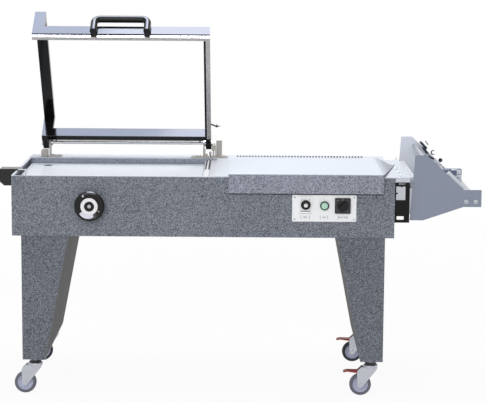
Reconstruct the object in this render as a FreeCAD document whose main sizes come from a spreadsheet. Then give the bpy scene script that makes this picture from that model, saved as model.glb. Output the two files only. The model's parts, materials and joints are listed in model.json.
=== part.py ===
import FreeCAD, Part
import math
import os
import re
import Sketcher

# L bar sealer: a table on four casters, with a tray well and a hinged sealing arm on the
# left, a film table in the middle and a cradle for the film roll on the right.
#
# Every piece is drawn in machine coordinates: X runs right from the cabinet's left end,
# Y runs back from its front face and Z runs up from the floor. One shared shift then
# brings the origin to the middle of the footprint. The arm is drawn closed, about its
# hinge line, and turned up to its open rest position.

doc = FreeCAD.newDocument("LBarSealer")

sizes = [
    # cabinet and legs
    ("cabinetLength", 1300, "cabinet, end to end"),
    ("cabinetDepth", 600, "cabinet, front to back"),
    ("cabinetHeight", 207, "cabinet, bottom edge to top edge"),
    ("sheetWall", 2.5, "steel sheet of cabinet and legs"),
    ("legHeight", 433, "leg, from its foot to the cabinet"),
    ("legInset", 30.5, "cabinet end to leg"),
    ("legTopWidth", 161, "leg at the cabinet"),
    ("legFootWidth", 77.5, "leg at its foot"),
    ("legFrontSetback", 5, "cabinet front to leg front"),
    ("legRearSetback", 15, "cabinet back to leg back"),
    ("legPanelWall", 2.6, "slanted inner leg panel"),
    # casters
    ("casterHeight", 127, "floor to leg foot"),
    ("wheelDiameter", 75, "caster wheel"),
    ("wheelWidth", 24, "caster wheel tread"),
    ("hubDiameter", 52, "plastic wheel hub"),
    ("casterTrail", 35, "swivel axis to wheel axle"),
    ("casterInset", 47, "leg face to swivel axis, front to back"),
    ("stemDiameter", 12, "threaded caster stem"),
    ("axleDiameter", 8, "caster axle"),
    ("forkWall", 3, "caster fork cheek"),
    ("forkGap", 1.5, "wheel to fork cheek"),
    ("crownDiameter", 50, "caster fork crown"),
    ("crownHeight", 9, "caster fork crown"),
    ("raceDiameter", 41, "fixed upper race of the caster"),
    ("raceHeight", 5, "fixed upper race of the caster"),
    ("crownDrop", 19.3, "leg foot to the top of the crown"),
    ("turnedCaster", 28, "rear left caster, swivelled at rest, degrees"),
    # tray well and deck
    ("marginWidth", 8, "top sheet left of the well"),
    ("wellDepth", 458, "well, front to back"),
    ("frontEdge", 34, "front face to the well"),
    ("sideBeamWidth", 42, "channel between the well and the deck plate"),
    ("railDrop", 27, "front lip of the rear rail"),
    ("beamHeight", 24, "channel under the sealing pads"),
    ("padThickness", 4, "silicone sealing pad"),
    ("padWidth", 16.4, "silicone sealing pad"),
    ("padSink", 1.3, "pad face below the cabinet top"),
    ("deckLeft", 688, "cabinet end to the deck plate"),
    ("deckWidth", 48, "deck plate, across"),
    ("deckWall", 1.5, "deck and bridge plates"),
    # tray and its lift
    ("trayDrop", 20, "cabinet top to the tray"),
    ("trayWall", 1.5, "tray sheet"),
    ("traySkirt", 18, "folded edge of the tray"),
    ("trayGap", 4, "tray to the walls of the well"),
    ("trayHole", 35, "round hole in the tray"),
    ("trayHoleInset", 64.5, "tray edge to the middle of its hole"),
    ("trayTravelDown", 40, "tray travel below its rest height"),
    ("guideDiameter", 16, "tray guide rod"),
    ("guideInset", 90, "tray edge to guide rod"),
    ("guideClearance", 0.06, "guide rod to bush, radial"),
    ("bushDiameter", 30, "guide bush"),
    ("bushHeight", 78, "guide bush"),
    ("gearModule", 1.5, "rack and pinion"),
    ("pinionTeeth", 20, "teeth of the pinion"),
    ("rackTeeth", 22, "teeth of the rack"),
    ("gearWidth", 14, "rack and pinion face"),
    ("gearBacklash", 0.3, "play between the teeth"),
    ("rackBack", 10, "rack bar behind the teeth"),
    # handwheel
    ("wheelX", 266.4, "cabinet end to the handwheel"),
    ("wheelZ", 667, "floor to the handwheel"),
    ("handwheelDiameter", 102, "handwheel"),
    ("handwheelThickness", 24, "handwheel rim"),
    ("handwheelGap", 14, "cabinet to handwheel"),
    ("ringOuter", 58, "bright ring on the handwheel"),
    ("ringInner", 34.6, "bright ring on the handwheel"),
    ("shaftDiameter", 12, "handwheel shaft"),
    ("shaftClearance", 0.05, "shaft to bearing, radial"),
    ("pinionY", 100, "cabinet front to the pinion"),
    # sealing arm
    ("hingeY", 525, "cabinet front to the hinge line"),
    ("hingeRise", 53, "cabinet top to the hinge line"),
    ("openAngle", 56.4, "arm, raised above the closed position"),
    ("hingeShaftDiameter", 12, "hinge shaft"),
    ("lugClearance", 0.05, "arm lug on the hinge shaft, radial"),
    ("armLeft", 50, "cabinet end to the arm"),
    ("armOverBeam", 20, "well to the arm's right side"),
    ("armReach", 524.6, "hinge line to the arm's front face"),
    ("armDrop", 40.4, "hinge line to the arm's underside"),
    ("barHeight", 46.5, "arm bars"),
    ("frontBar", 27, "front bar, front to back"),
    ("rearBar", 19.4, "rear bar, front to back"),
    ("rearBarReach", 63.4, "hinge line to the rear bar's front face"),
    ("sideBar", 22, "right bar, across"),
    ("bridgeWidth", 38, "raised left bar, across"),
    ("bridgeHeight", 129, "underside of the arm to the top of the left bar"),
    ("bridgeBar", 21.6, "raised left bar, top to bottom"),
    ("lugWidth", 20, "hinge lug, across"),
    ("lugRadius", 23, "round end of the hinge lug"),
    ("jawWidth", 14, "sealing jaw"),
    ("jawSetback", 3.6, "front face of the arm to the jaw"),
    ("closedGap", 0.3, "jaw to pad with the arm closed"),
    # arm handle
    ("handleLeft", 251, "cabinet end to the handle"),
    ("handleSpan", 210.5, "handle, outside to outside"),
    ("handleTop", 82.3, "arm underside to the top of the handle"),
    ("handleDiameter", 25, "handle bar"),
    ("handleBend", 22, "handle corner, centre line"),
    # hinge brackets
    ("bracketWall", 5, "hinge bracket plate"),
    ("bracketDepth", 40, "hinge bracket, front to back"),
    ("bracketTop", 13, "hinge line to the top of the brackets"),
    ("bracketGap", 2, "arm lug to the left bracket"),
    ("bracketLip", 8, "front web of the right bracket, ahead of its shaft plates"),
    ("stopHeight", 26, "stop block under the left lug"),
    ("footLength", 44, "foot of the left bracket"),
    ("forkSide", 5, "arm lug to the cheeks of the right bracket"),
    ("postWidth", 21, "square post beside the hinge"),
    ("postGap", 8, "right bracket to the square post"),
    ("boltDiameter", 8, "bolt heads on the brackets"),
    ("boltHeight", 5, "bolt heads on the brackets"),
    # film table
    ("tableEnd", 38, "apron to the cabinet's right end"),
    ("tableRise", 11, "film table above the cabinet top"),
    ("tableApron", 66, "film table front apron"),
    ("tableFront", 10, "apron in front of the cabinet"),
    ("tableBack", 465, "cabinet front to the back of the film table"),
    ("tableWall", 2, "film table sheet"),
    ("tableNose", 57, "sloping nose of the film table"),
    ("combPitch", 11, "teeth along the film table's back edge"),
    ("combTeeth", 42, "teeth along the film table's back edge"),
    ("combHeight", 5, "teeth along the film table's back edge"),
    # film cradle
    ("cradleGap", 52.5, "cabinet to the lower corner of the cradle plates"),
    ("cradleFront", 10, "cabinet front to the front cradle plate"),
    ("cradleLength", 570, "cradle plates, outside to outside"),
    ("plateWall", 3, "cradle plates"),
    ("plateLow", 146, "cabinet top down to the cradle plates' lowest corner"),
    ("plateTall", 223, "cradle plates, top to bottom"),
    ("plateTop", 39.5, "cradle plates along the top"),
    ("plateLean", 14.7, "lean of the cradle plates' left edge"),
    ("plateReach", 242, "cradle plates, left to right"),
    ("tongueLength", 60, "straight tongue of the cradle plates"),
    ("tongueHeight", 58.4, "tongue of the cradle plates"),
    ("tongueRise", 47, "lowest corner to the tongue's underside"),
    ("plateFoot", 45, "cradle plates along the bottom"),
    ("plateSkin", 1, "cradle plate left outside the blind bores"),
    ("rollerDiameter", 36, "film rollers"),
    ("rollerLeftOver", 52, "cradle corner to the left roller, across"),
    ("rollerLeftUp", 40, "cradle corner to the left roller, up"),
    ("rollerRightOver", 142, "cradle corner to the right roller, across"),
    ("rollerRightUp", 68, "cradle corner to the right roller, up"),
    ("upperRodOver", 62, "cradle corner to the upper rod, across"),
    ("upperRodUp", 192, "cradle corner to the upper rod, up"),
    ("lowerRodOver", 150, "cradle corner to the lower rod, across"),
    ("lowerRodUp", 122, "cradle corner to the lower rod, up"),
    ("journalDiameter", 10, "film roller journals"),
    ("journalClearance", 0.05, "journal to plate, radial"),
    ("rollerGap", 2, "film roller to the plates"),
    ("rodDiameter", 12, "guide rods of the cradle"),
    ("supportWidth", 47, "black support between cabinet and cradle"),
    ("supportDrop", 15, "cabinet top to the top of the support"),
    ("supportHeight", 138, "black support, top to bottom"),
    ("stripWidth", 22, "perforated strip, across"),
    ("perforatorDiameter", 30, "perforator wheel"),
    # controls
    ("panelEnd", 348, "control panel's left edge to the cabinet's right end"),
    ("panelWidth", 218, "control panel"),
    ("panelBottom", 616, "floor to the control panel"),
    ("panelHeight", 91, "control panel"),
    ("panelWall", 2, "control panel"),
    ("timerOver", 46, "panel edge to the timer"),
    ("timerZ", 679, "floor to the timer"),
    ("timerSquare", 47, "timer bezel"),
    ("knobDrop", 5, "timer centre down to its knob"),
    ("knobDiameter", 33, "timer knob"),
    ("pilotOver", 110, "panel edge to the pilot light"),
    ("pilotDiameter", 31, "pilot light bezel"),
    ("switchOver", 171.5, "panel edge to the cam switch"),
    ("controlZ", 671, "floor to the pilot light and switch"),
    ("switchSquare", 53, "cam switch plate"),
    ("spindleDiameter", 6, "spindles of timer and switch"),
    ("spindleClearance", 0.05, "spindle to bore, radial"),
    # side box
    ("boxReach", 57, "side box beyond the cabinet end"),
    ("boxInside", 18, "side box over the cabinet margin"),
    ("boxHeight", 52, "side box"),
    ("boxFront", 120, "cabinet front to the side box"),
    ("boxDepth", 56, "side box"),
    ("runningGap", 0.3, "gap between faces that pass each other"),
    ("glandReach", 24, "cable gland behind the cabinet"),
    # transformer
    ("coreWidth", 120, "transformer core, across"),
    ("coreHeight", 100, "transformer core"),
    ("coreDepth", 70, "transformer core, front to back"),
    ("coreLimb", 20, "outer limbs and yokes of the core"),
    ("coilWall", 18, "winding, thickness"),
]

# Places and lengths that follow from the sizes.
places = [
    ("cabinetBottom", "casterHeight + legHeight"),
    ("cabinetTop", "cabinetBottom + cabinetHeight"),
    ("cradleX", "cabinetLength + cradleGap"),
    ("plateRight", "cradleX + plateReach"),
    ("handwheelFace", "handwheelGap + handwheelThickness"),
    ("shiftX", "(boxReach - plateRight) / 2"),
    ("shiftY", "(handwheelFace + 2 - cabinetDepth - glandReach) / 2"),
    ("legTop", "cabinetBottom"),
    ("legSlope", "(legTopWidth - legFootWidth) / legHeight"),
    ("legBack", "cabinetDepth - legRearSetback"),
    ("casterFrontY", "legFrontSetback + casterInset"),
    ("casterRearY", "legBack - casterInset + 5"),
    ("casterLeftX", "legInset + legFootWidth / 2"),
    ("casterRightX", "cabinetLength - casterLeftX"),
    ("wheelRadius", "wheelDiameter / 2"),
    ("raceBottom", "crownTop + runningGap"),
    ("crownTop", "casterHeight - crownDrop"),
    ("crownBottom", "crownTop - crownHeight"),
    ("cheekInner", "wheelWidth / 2 + forkGap"),
    ("cheekOuter", "cheekInner + forkWall"),
    ("wellBack", "frontEdge + wellDepth"),
    ("wellRight", "deckLeft - sideBeamWidth"),
    ("tableLeft", "deckLeft + deckWidth"),
    ("tableRight", "cabinetLength - tableEnd"),
    ("armRight", "wellRight + armOverBeam"),
    ("padTop", "cabinetTop - padSink"),
    ("beamTop", "padTop - padThickness"),
    ("jawFrontY", "hingeY - armReach + jawSetback"),
    ("jawRightX", "armRight - 0.5"),
    ("jawLeftX", "jawRightX - jawWidth"),
    ("padMargin", "(padWidth - jawWidth) / 2"),
    ("trayTop", "cabinetTop - trayDrop"),
    ("trayLeft", "marginWidth + trayGap"),
    ("trayRight", "wellRight - trayGap"),
    ("trayFront", "frontEdge + trayGap"),
    ("trayBack", "wellBack - trayGap"),
    ("floorTop", "cabinetBottom + sheetWall"),
    ("rackX", "wheelX + pitchRadius"),
    ("pitchRadius", "gearModule * pinionTeeth / 2"),
    ("toothPitch", "gearModule * 3.141592653589793"),
    ("rackMiddle", "wheelZ"),
    ("guideLeftX", "trayLeft + guideInset"),
    ("guideRightX", "trayRight - guideInset"),
    ("guideY", "(trayFront + trayBack) / 2"),
    ("guideBottom", "floorTop + 3.5 + trayTravelDown"),
    ("hingeZ", "cabinetTop + hingeRise"),
    ("jawDrop", "hingeZ - padTop - closedGap"),
    ("windowFront", "armReach - frontBar"),
    ("rearBarBack", "rearBarReach - rearBar"),
    ("bridgeTop", "bridgeHeight - armDrop"),
    ("bridgeUnder", "bridgeTop - bridgeBar"),
    ("barTop", "barHeight - armDrop"),
    ("rightLugX", "armRight - lugWidth"),
    ("leftBracketX", "armLeft + lugWidth + bracketGap"),
    ("cheekLeftX", "rightLugX - forkSide - bracketWall"),
    ("cheekRightX", "armRight + forkSide"),
    ("postX", "cheekRightX + bracketWall + postGap"),
    ("bracketFront", "hingeY - bracketDepth / 2"),
    ("bracketBack", "bracketFront + bracketDepth"),
    ("webFront", "bracketFront - bracketLip"),
    ("baseLeftX", "cheekLeftX - 44"),
    ("baseRightX", "postX + postWidth + 22"),
    ("tableTop", "cabinetTop + tableRise"),
    ("noseX", "tableRight + tableNose"),
    ("creaseX", "tableRight - 5"),
    ("noseTop", "cabinetTop + deckWall + tableWall + 0.5"),
    ("plateBottom", "cabinetTop - plateLow"),
    ("cradleBack", "cradleFront + cradleLength"),
    ("supportRight", "cabinetLength + supportWidth"),
    ("supportTop", "cabinetTop - supportDrop"),
    ("supportBottom", "supportTop - supportHeight"),
    ("rollerLeftX", "cradleX + rollerLeftOver"),
    ("rollerLeftZ", "plateBottom + rollerLeftUp"),
    ("rollerRightX", "cradleX + rollerRightOver"),
    ("rollerRightZ", "plateBottom + rollerRightUp"),
    ("upperRodX", "cradleX + upperRodOver"),
    ("upperRodZ", "plateBottom + upperRodUp"),
    ("lowerRodX", "cradleX + lowerRodOver"),
    ("lowerRodZ", "plateBottom + lowerRodUp"),
    ("tieX", "plateRight - 35"),
    ("tieZ", "plateBottom + tongueRise + 18"),
    ("knobZ", "timerZ - knobDrop"),
    ("panelLeft", "cabinetLength - panelEnd"),
    ("timerX", "panelLeft + timerOver"),
    ("pilotX", "panelLeft + pilotOver"),
    ("switchX", "panelLeft + switchOver"),
    ("coreX", "panelLeft - coreWidth / 2"),
    ("coreY", "cabinetDepth / 2"),
    ("boxTop", "cabinetTop"),
]

sheet = doc.addObject("Spreadsheet::Sheet", "Sizes")
for row, (name, value, meaning) in enumerate(sizes, 1):
    sheet.set(f"A{row}", meaning)
    sheet.set(f"B{row}", str(value))
    sheet.setAlias(f"B{row}", name)
layout = doc.addObject("App::VarSet", "Layout")
owner = {name: "Sizes." for name, value, meaning in sizes}
owner.update({name: "Layout." for name, rule in places})


def formula(text):
    # A rule in plain names, with each name pointed at the sheet or the layout.
    return re.sub(r"[A-Za-z]\w*", lambda found: owner.get(found[0], "") + found[0], str(text))


for name, rule in places:
    layout.addProperty("App::PropertyFloat", name)
for name, rule in places:
    layout.setExpression(name, formula(rule))
doc.recompute()


def number(name):
    return float(getattr(layout, name) if owner[name] == "Layout." else sheet.get(name))


nodes = []
cuts = []


def place(piece, x=0, y=0, z=0, axis=(0, 0, 1), turn=0):
    # Puts a piece at a point in machine coordinates, turned about an axis through it.
    piece.setExpression("Placement", formula(
        f"placement(vector(shiftX + {x}; shiftY + {y}; {z}); "
        f"rotation(vector({axis[0]}; {axis[1]}; {axis[2]}); {turn}))"))
    return piece


def node(piece, label):
    piece.Label = label
    nodes.append(piece)
    return piece


def rectangle(x0, y0, x1, y1):
    return [(x0, y0), (x1, y0), (x1, y1), (x0, y1)]


def newBody():
    return doc.addObject("PartDesign::Body", "Body")


def draw(body, plane, level, loops):
    # A sketch in one of the body's own planes, moved along the plane's axis to a level.
    # A loop is a list of corners, or a circle as (x, y, radius).
    sketch = body.newObject("Sketcher::SketchObject", "Sketch")
    base = next(item for item in body.Origin.OriginFeatures if item.Role == plane + "_Plane")
    sketch.AttachmentSupport = [(base, "")]
    sketch.MapMode = "FlatFace"
    sign = "-" if plane == "XZ" else ""
    sketch.setExpression("AttachmentOffset.Base.z", formula(f"{sign}({level})"))

    def tie(kind, geometry, point, rule, start):
        index = sketch.addConstraint(Sketcher.Constraint(kind, -1, 1, geometry, point, start))
        sketch.setExpression(f"Constraints[{index}]", formula(rule))

    for loop in loops:
        if isinstance(loop, tuple):
            x, y, radius = loop
            circle = sketch.addGeometry(Part.Circle(FreeCAD.Vector(5, 5, 0),
                                                    FreeCAD.Vector(0, 0, 1), 3))
            tie("DistanceX", circle, 3, x, 5)
            tie("DistanceY", circle, 3, y, 5)
            index = sketch.addConstraint(Sketcher.Constraint("Radius", circle, 3))
            sketch.setExpression(f"Constraints[{index}]", formula(radius))
            continue
        count = len(loop)
        start = [FreeCAD.Vector(9 * math.cos(6.283 * k / count),
                                9 * math.sin(6.283 * k / count), 0) for k in range(count)]
        lines = [sketch.addGeometry(Part.LineSegment(start[k], start[(k + 1) % count]))
                 for k in range(count)]
        for k, (x, y) in enumerate(loop):
            following = lines[(k + 1) % count]
            sketch.addConstraint(Sketcher.Constraint("Coincident", lines[k], 2, following, 1))
            tie("DistanceX", lines[k], 1, x, start[k].x)
            tie("DistanceY", lines[k], 1, y, start[k].y)
    return sketch


def pad(body, plane, level, length, *loops):
    # Adds material from a level towards the positive axis.
    feature = body.newObject("PartDesign::Pad", "Pad")
    feature.Profile = draw(body, plane, level, loops)
    feature.setExpression("Length", formula(length))
    feature.Reversed = plane == "XZ"
    body.Tip = feature
    return feature


def pocket(body, plane, level, length, *loops):
    # Takes material away from a level towards the positive axis.
    before = body.Tip
    feature = body.newObject("PartDesign::Pocket", "Pocket")
    feature.Profile = draw(body, plane, level, loops)
    feature.setExpression("Length", formula(length))
    feature.Reversed = plane != "XZ"
    body.Tip = feature
    cuts.append((before, feature))
    return feature


def turned(axis, profile):
    # A body turned about its own axis, from points (along the axis, radius).
    body = newBody()
    feature = body.newObject("PartDesign::Revolution", "Revolution")
    points = [(radius, along) for along, radius in profile] if axis == "Z" else profile
    sketch = draw(body, "YZ" if axis == "Y" else "XZ", 0, [points])
    feature.Profile = sketch
    feature.ReferenceAxis = (sketch, ["V_Axis" if axis == "Z" else "H_Axis"])
    feature.Angle = 360
    body.Tip = feature
    return body


def roundEdges(body, radius, chosen):
    # Rounds the edges of the body so far that the test picks out.
    doc.recompute()
    tip = body.Tip
    picked = [f"Edge{k}" for k, edge in enumerate(tip.Shape.Edges, 1) if chosen(edge)]
    feature = body.newObject("PartDesign::Fillet", "Fillet")
    feature.Base = (tip, picked)
    feature.setExpression("Radius", formula(radius))
    body.Tip = feature
    return feature


def along(axis, longest=1e9):
    # Picks straight edges parallel to an axis, up to a length.
    vector = FreeCAD.Vector(*axis)

    def test(edge):
        straight = edge.Curve.TypeId == "Part::GeomLine"
        return straight and edge.Length < longest and abs(edge.Curve.Direction.dot(vector)) > 0.999
    return test


def ring(plane, level, length, x, y, outer, inner=None):
    # A straight round bar or tube with its own centre.
    body = newBody()
    pad(body, plane, level, length, (x, y, outer))
    if inner:
        pocket(body, plane, level, length, (x, y, inner))
    return body


def block(x0, x1, y0, y1, z0, z1):
    body = newBody()
    pad(body, "XY", z0, f"({z1}) - ({z0})", rectangle(x0, y0, x1, y1))
    return body


def group(*pieces):
    compound = doc.addObject("Part::Compound", "Compound")
    compound.Links = list(pieces)
    return compound


def roundedPath(points, radius):
    # Straight runs joined by tangent arcs: an arc starts at radius times the tangent of
    # half the turn before each corner.
    points = [FreeCAD.Vector(*point) for point in points]
    edges = []
    start = points[0]
    for before, corner, after in zip(points, points[1:], points[2:]):
        arriving = (corner - before).normalize()
        leaving = (after - corner).normalize()
        turn = arriving.getAngle(leaving)
        reach = radius * math.tan(turn / 2)
        enter, leave = corner - arriving * reach, corner + leaving * reach
        inward = (leaving - arriving).normalize()
        middle = corner + inward * radius * (1 / math.cos(turn / 2) - 1)
        edges += [Part.LineSegment(start, enter).toShape(), Part.Arc(enter, middle, leave).toShape()]
        start = leave
    edges.append(Part.LineSegment(start, points[-1]).toShape())
    return Part.Wire(edges)


def bar(points, radius, bend):
    # A round bar swept along straight runs and bends.
    path = roundedPath(points, bend)
    first = FreeCAD.Vector(*points[0])
    towards = FreeCAD.Vector(*points[1]) - first
    section = Part.Wire(Part.Circle(first, towards, radius).toShape())
    return path.makePipeShell([section], True, True)


# Cabinet: four walls and a top sheet with the opening of the tray well.
cabinet = newBody()
pad(cabinet, "XY", "cabinetBottom", "cabinetHeight",
    rectangle(0, 0, "cabinetLength", "cabinetDepth"))
pocket(cabinet, "XY", "cabinetBottom", "cabinetHeight - sheetWall",
       rectangle("sheetWall", "sheetWall", "cabinetLength - sheetWall", "cabinetDepth - sheetWall"))
pocket(cabinet, "XY", "cabinetTop - sheetWall", "sheetWall",
       rectangle("marginWidth", "sheetWall", "deckLeft", "cabinetDepth - sheetWall"))
pocket(cabinet, "XZ", 0, "sheetWall", ("wheelX", "wheelZ", "shaftDiameter / 2 + shaftClearance"))
pocket(cabinet, "XZ", 0, "sheetWall", ("timerX", "knobZ", "spindleDiameter"),
       ("pilotX", "controlZ", "spindleDiameter"), ("switchX", "controlZ", "spindleDiameter"))
pocket(cabinet, "XZ", "cabinetDepth - sheetWall", "sheetWall",
       ("cabinetLength - 90", "cabinetBottom + 60", 8))
node(place(cabinet), "cabinet_shell")

floor = newBody()
pad(floor, "XY", "cabinetBottom", "sheetWall",
    rectangle("sheetWall", "sheetWall", "cabinetLength - sheetWall", "cabinetDepth - sheetWall"))
node(place(floor), "cabinet_floor")

# Rear rail: the top sheet behind the well, with a lip folded down into it.
rail = newBody()
pad(rail, "YZ", "sheetWall", "deckLeft - sheetWall", [
    ("wellBack", "cabinetTop - railDrop"), ("wellBack + sheetWall", "cabinetTop - railDrop"),
    ("wellBack + sheetWall", "cabinetTop - sheetWall"),
    ("cabinetDepth - sheetWall", "cabinetTop - sheetWall"),
    ("cabinetDepth - sheetWall", "cabinetTop"), ("wellBack", "cabinetTop")])
pocket(rail, "XY", "cabinetTop - sheetWall", "sheetWall",
       rectangle("sheetWall", "wellBack", "marginWidth", "cabinetDepth - sheetWall"))
node(place(rail), "rear_rail")


# Legs: a folded box with front, outer and rear walls and a foot plate. The inner side is a
# slanted panel between the front and rear walls.
def leg(label, mirrored):
    def x(rule):
        return f"cabinetLength - ({rule})" if mirrored else rule
    outer, top, foot = "legInset", "legInset + legTopWidth", "legInset + legFootWidth"
    body = newBody()
    pad(body, "XZ", "legFrontSetback", "legBack - legFrontSetback", [
        (x(outer), "casterHeight"), (x(foot), "casterHeight"),
        (x(top), "legTop"), (x(outer), "legTop")])
    pocket(body, "XZ", "legFrontSetback + sheetWall", "legBack - legFrontSetback - 2 * sheetWall", [
        (x(outer + " + sheetWall"), "casterHeight + sheetWall"),
        (x(foot + " + legTopWidth"), "casterHeight + sheetWall"),
        (x(foot + " + legTopWidth"), "legTop"), (x(outer + " + sheetWall"), "legTop")])
    hole = "stemDiameter / 2"
    pocket(body, "XY", "casterHeight", "sheetWall",
           (x("casterLeftX"), "casterFrontY", hole), (x("casterLeftX"), "casterRearY", hole))
    node(place(body), label)
    panel = newBody()
    pad(panel, "XZ", "legFrontSetback + sheetWall", "legBack - legFrontSetback - 2 * sheetWall", [
        (x(foot + " - legPanelWall"), "casterHeight + sheetWall"),
        (x(foot + " + legSlope * sheetWall"), "casterHeight + sheetWall"),
        (x(top), "legTop"), (x(top + " - legPanelWall - legSlope * sheetWall"), "legTop")])
    return place(panel)


leftPanel = leg("leg_left", False)
rightPanel = leg("leg_right", True)
node(group(leftPanel, rightPanel), "leg_panels")

# Sealing beams: channels along the front edge and beside the deck, and the L of silicone
# pad that lies on them.
beamFrontY = "sheetWall"
frontBeam = newBody()
pad(frontBeam, "YZ", "marginWidth", "deckLeft - marginWidth", [
    (beamFrontY, "beamTop - beamHeight"), ("frontEdge", "beamTop - beamHeight"),
    ("frontEdge", "beamTop"), (beamFrontY, "beamTop")])
pocket(frontBeam, "YZ", "marginWidth", "deckLeft - marginWidth", [
    ("sheetWall * 2", "beamTop - beamHeight"), ("frontEdge - sheetWall", "beamTop - beamHeight"),
    ("frontEdge - sheetWall", "beamTop - sheetWall"), ("sheetWall * 2", "beamTop - sheetWall")])
node(place(frontBeam), "front_seal_beam")

sideBeam = newBody()
pad(sideBeam, "XZ", "frontEdge", "wellBack - frontEdge", [
    ("wellRight", "beamTop - beamHeight"), ("deckLeft", "beamTop - beamHeight"),
    ("deckLeft", "beamTop"), ("wellRight", "beamTop")])
pocket(sideBeam, "XZ", "frontEdge", "wellBack - frontEdge", [
    ("wellRight + sheetWall", "beamTop - beamHeight"),
    ("deckLeft - sheetWall", "beamTop - beamHeight"),
    ("deckLeft - sheetWall", "beamTop - sheetWall"),
    ("wellRight + sheetWall", "beamTop - sheetWall")])
node(place(sideBeam), "side_seal_beam")

sealPads = newBody()
pad(sealPads, "XY", "beamTop", "padThickness", [
    ("armLeft", "jawFrontY - padMargin"), ("jawRightX + padMargin", "jawFrontY - padMargin"),
    ("jawRightX + padMargin", "wellBack - 40"), ("jawLeftX - padMargin", "wellBack - 40"),
    ("jawLeftX - padMargin", "jawFrontY + jawWidth + padMargin"),
    ("armLeft", "jawFrontY + jawWidth + padMargin")])
node(place(sealPads), "seal_pads")

# Deck plate over the top sheet between the sealing beam and the film table.
deck = block("deckLeft", "tableLeft", "sheetWall", "wellBack", "cabinetTop", "cabinetTop + deckWall")
node(place(deck), "deck_plate")

# Tray: a sheet with its edges folded down and one round hole, on two guide rods and a rack.
tray = newBody()
pad(tray, "XY", "trayTop - traySkirt", "traySkirt",
    rectangle("trayLeft", "trayFront", "trayRight", "trayBack"))
roundEdges(tray, 6, along((0, 0, 1)))
pocket(tray, "XY", "trayTop - traySkirt", "traySkirt - trayWall", rectangle(
    "trayLeft + trayWall", "trayFront + trayWall", "trayRight - trayWall", "trayBack - trayWall"))
pocket(tray, "XY", "trayTop - trayWall", "trayWall",
       ("trayLeft + trayHoleInset", "trayBack - 60", "trayHole / 2"))
node(place(tray), "tray")

guides = [ring("XY", "guideBottom", "trayTop - trayWall - guideBottom", x, "guideY",
               "guideDiameter / 2") for x in ("guideLeftX", "guideRightX")]
bushes = [ring("XY", "floorTop", "bushHeight", x, "guideY", "bushDiameter / 2",
               "guideDiameter / 2 + guideClearance") for x in ("guideLeftX", "guideRightX")]

# Rack: straight teeth on a bar under the tray, one pitch apart, a gap level with the pinion.
halfTooth = "(toothPitch / 2 - gearBacklash / 2) / 2"
flank = "gearModule * 0.364"
rack = newBody()
pad(rack, "XZ", "pinionY", "gearWidth", rectangle(
    "rackX + gearModule * 1.25", "rackMiddle - toothPitch * 6",
    "rackX + gearModule * 1.25 + rackBack", "trayTop - trayWall"))
firstTooth = "rackMiddle - toothPitch * 5.5"
pad(rack, "XZ", "pinionY", "gearWidth", [
    ("rackX - gearModule", f"{firstTooth} - {halfTooth} + {flank}"),
    ("rackX + gearModule * 1.25 + 1", f"{firstTooth} - {halfTooth} - {flank} * 1.25"),
    ("rackX + gearModule * 1.25 + 1", f"{firstTooth} + {halfTooth} + {flank} * 1.25"),
    ("rackX - gearModule", f"{firstTooth} + {halfTooth} - {flank}")])
tooth = rack.Tip
teeth = rack.newObject("PartDesign::LinearPattern", "Teeth")
teeth.Originals = [tooth]
teeth.Direction = (tooth.Profile[0], ["V_Axis"])
teeth.setExpression("Length", formula("toothPitch * (rackTeeth - 1)"))
teeth.setExpression("Occurrences", formula("rackTeeth"))
rack.Tip = teeth
node(group(place(rack), *[place(rod) for rod in guides]), "tray_lift")


def pinionOutline():
    # Each flank is an involute of the base circle, from the root circle to the tip circle.
    module, count = number("gearModule"), int(number("pinionTeeth"))
    pitch = number("pitchRadius")
    pressure = math.radians(20)
    base = pitch * math.cos(pressure)
    root, tip = pitch - 1.25 * module, pitch + module
    halfAtPitch = (math.pi / 2 - number("gearBacklash") / (2 * module)) / count
    involute = math.tan(pressure) - pressure
    corners = []
    for k in range(count):
        middle = 2 * math.pi * k / count
        side = []
        for step in range(5):
            radius = max(base, root) + (tip - max(base, root)) * step / 4
            angle = math.acos(min(1, base / radius))
            half = halfAtPitch + involute - (math.tan(angle) - angle)
            side.append((radius, half))
        side = [(root, side[0][1])] + side
        for radius, half in side:
            corners.append((radius, middle - half))
        for radius, half in reversed(side):
            corners.append((radius, middle + half))
    points = [FreeCAD.Vector(radius * math.cos(angle), 0, radius * math.sin(angle))
              for radius, angle in corners]
    return Part.Face(Part.makePolygon(points + points[:1]))


# Handwheel shaft: turned in one piece with its pinion, whose teeth are cut by the outline
# above. The front end carries the handwheel.
shaftStart = "-handwheelFace + 4"
pinionShaft = doc.addObject("Part::Feature", "PinionShaft")
gear = pinionOutline().extrude(FreeCAD.Vector(0, number("gearWidth"), 0))
gear.translate(FreeCAD.Vector(0, number("pinionY"), 0))
shaftFront = 4 - number("handwheelFace")
shaft = Part.makeCylinder(number("shaftDiameter") / 2, number("pinionY") + 40 - shaftFront,
                          FreeCAD.Vector(0, shaftFront, 0), FreeCAD.Vector(0, 1, 0))
pinionShaft.Shape = gear.fuse(shaft).removeSplitter()
node(place(pinionShaft, "wheelX", 0, "wheelZ"), "pinion_shaft")

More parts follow.
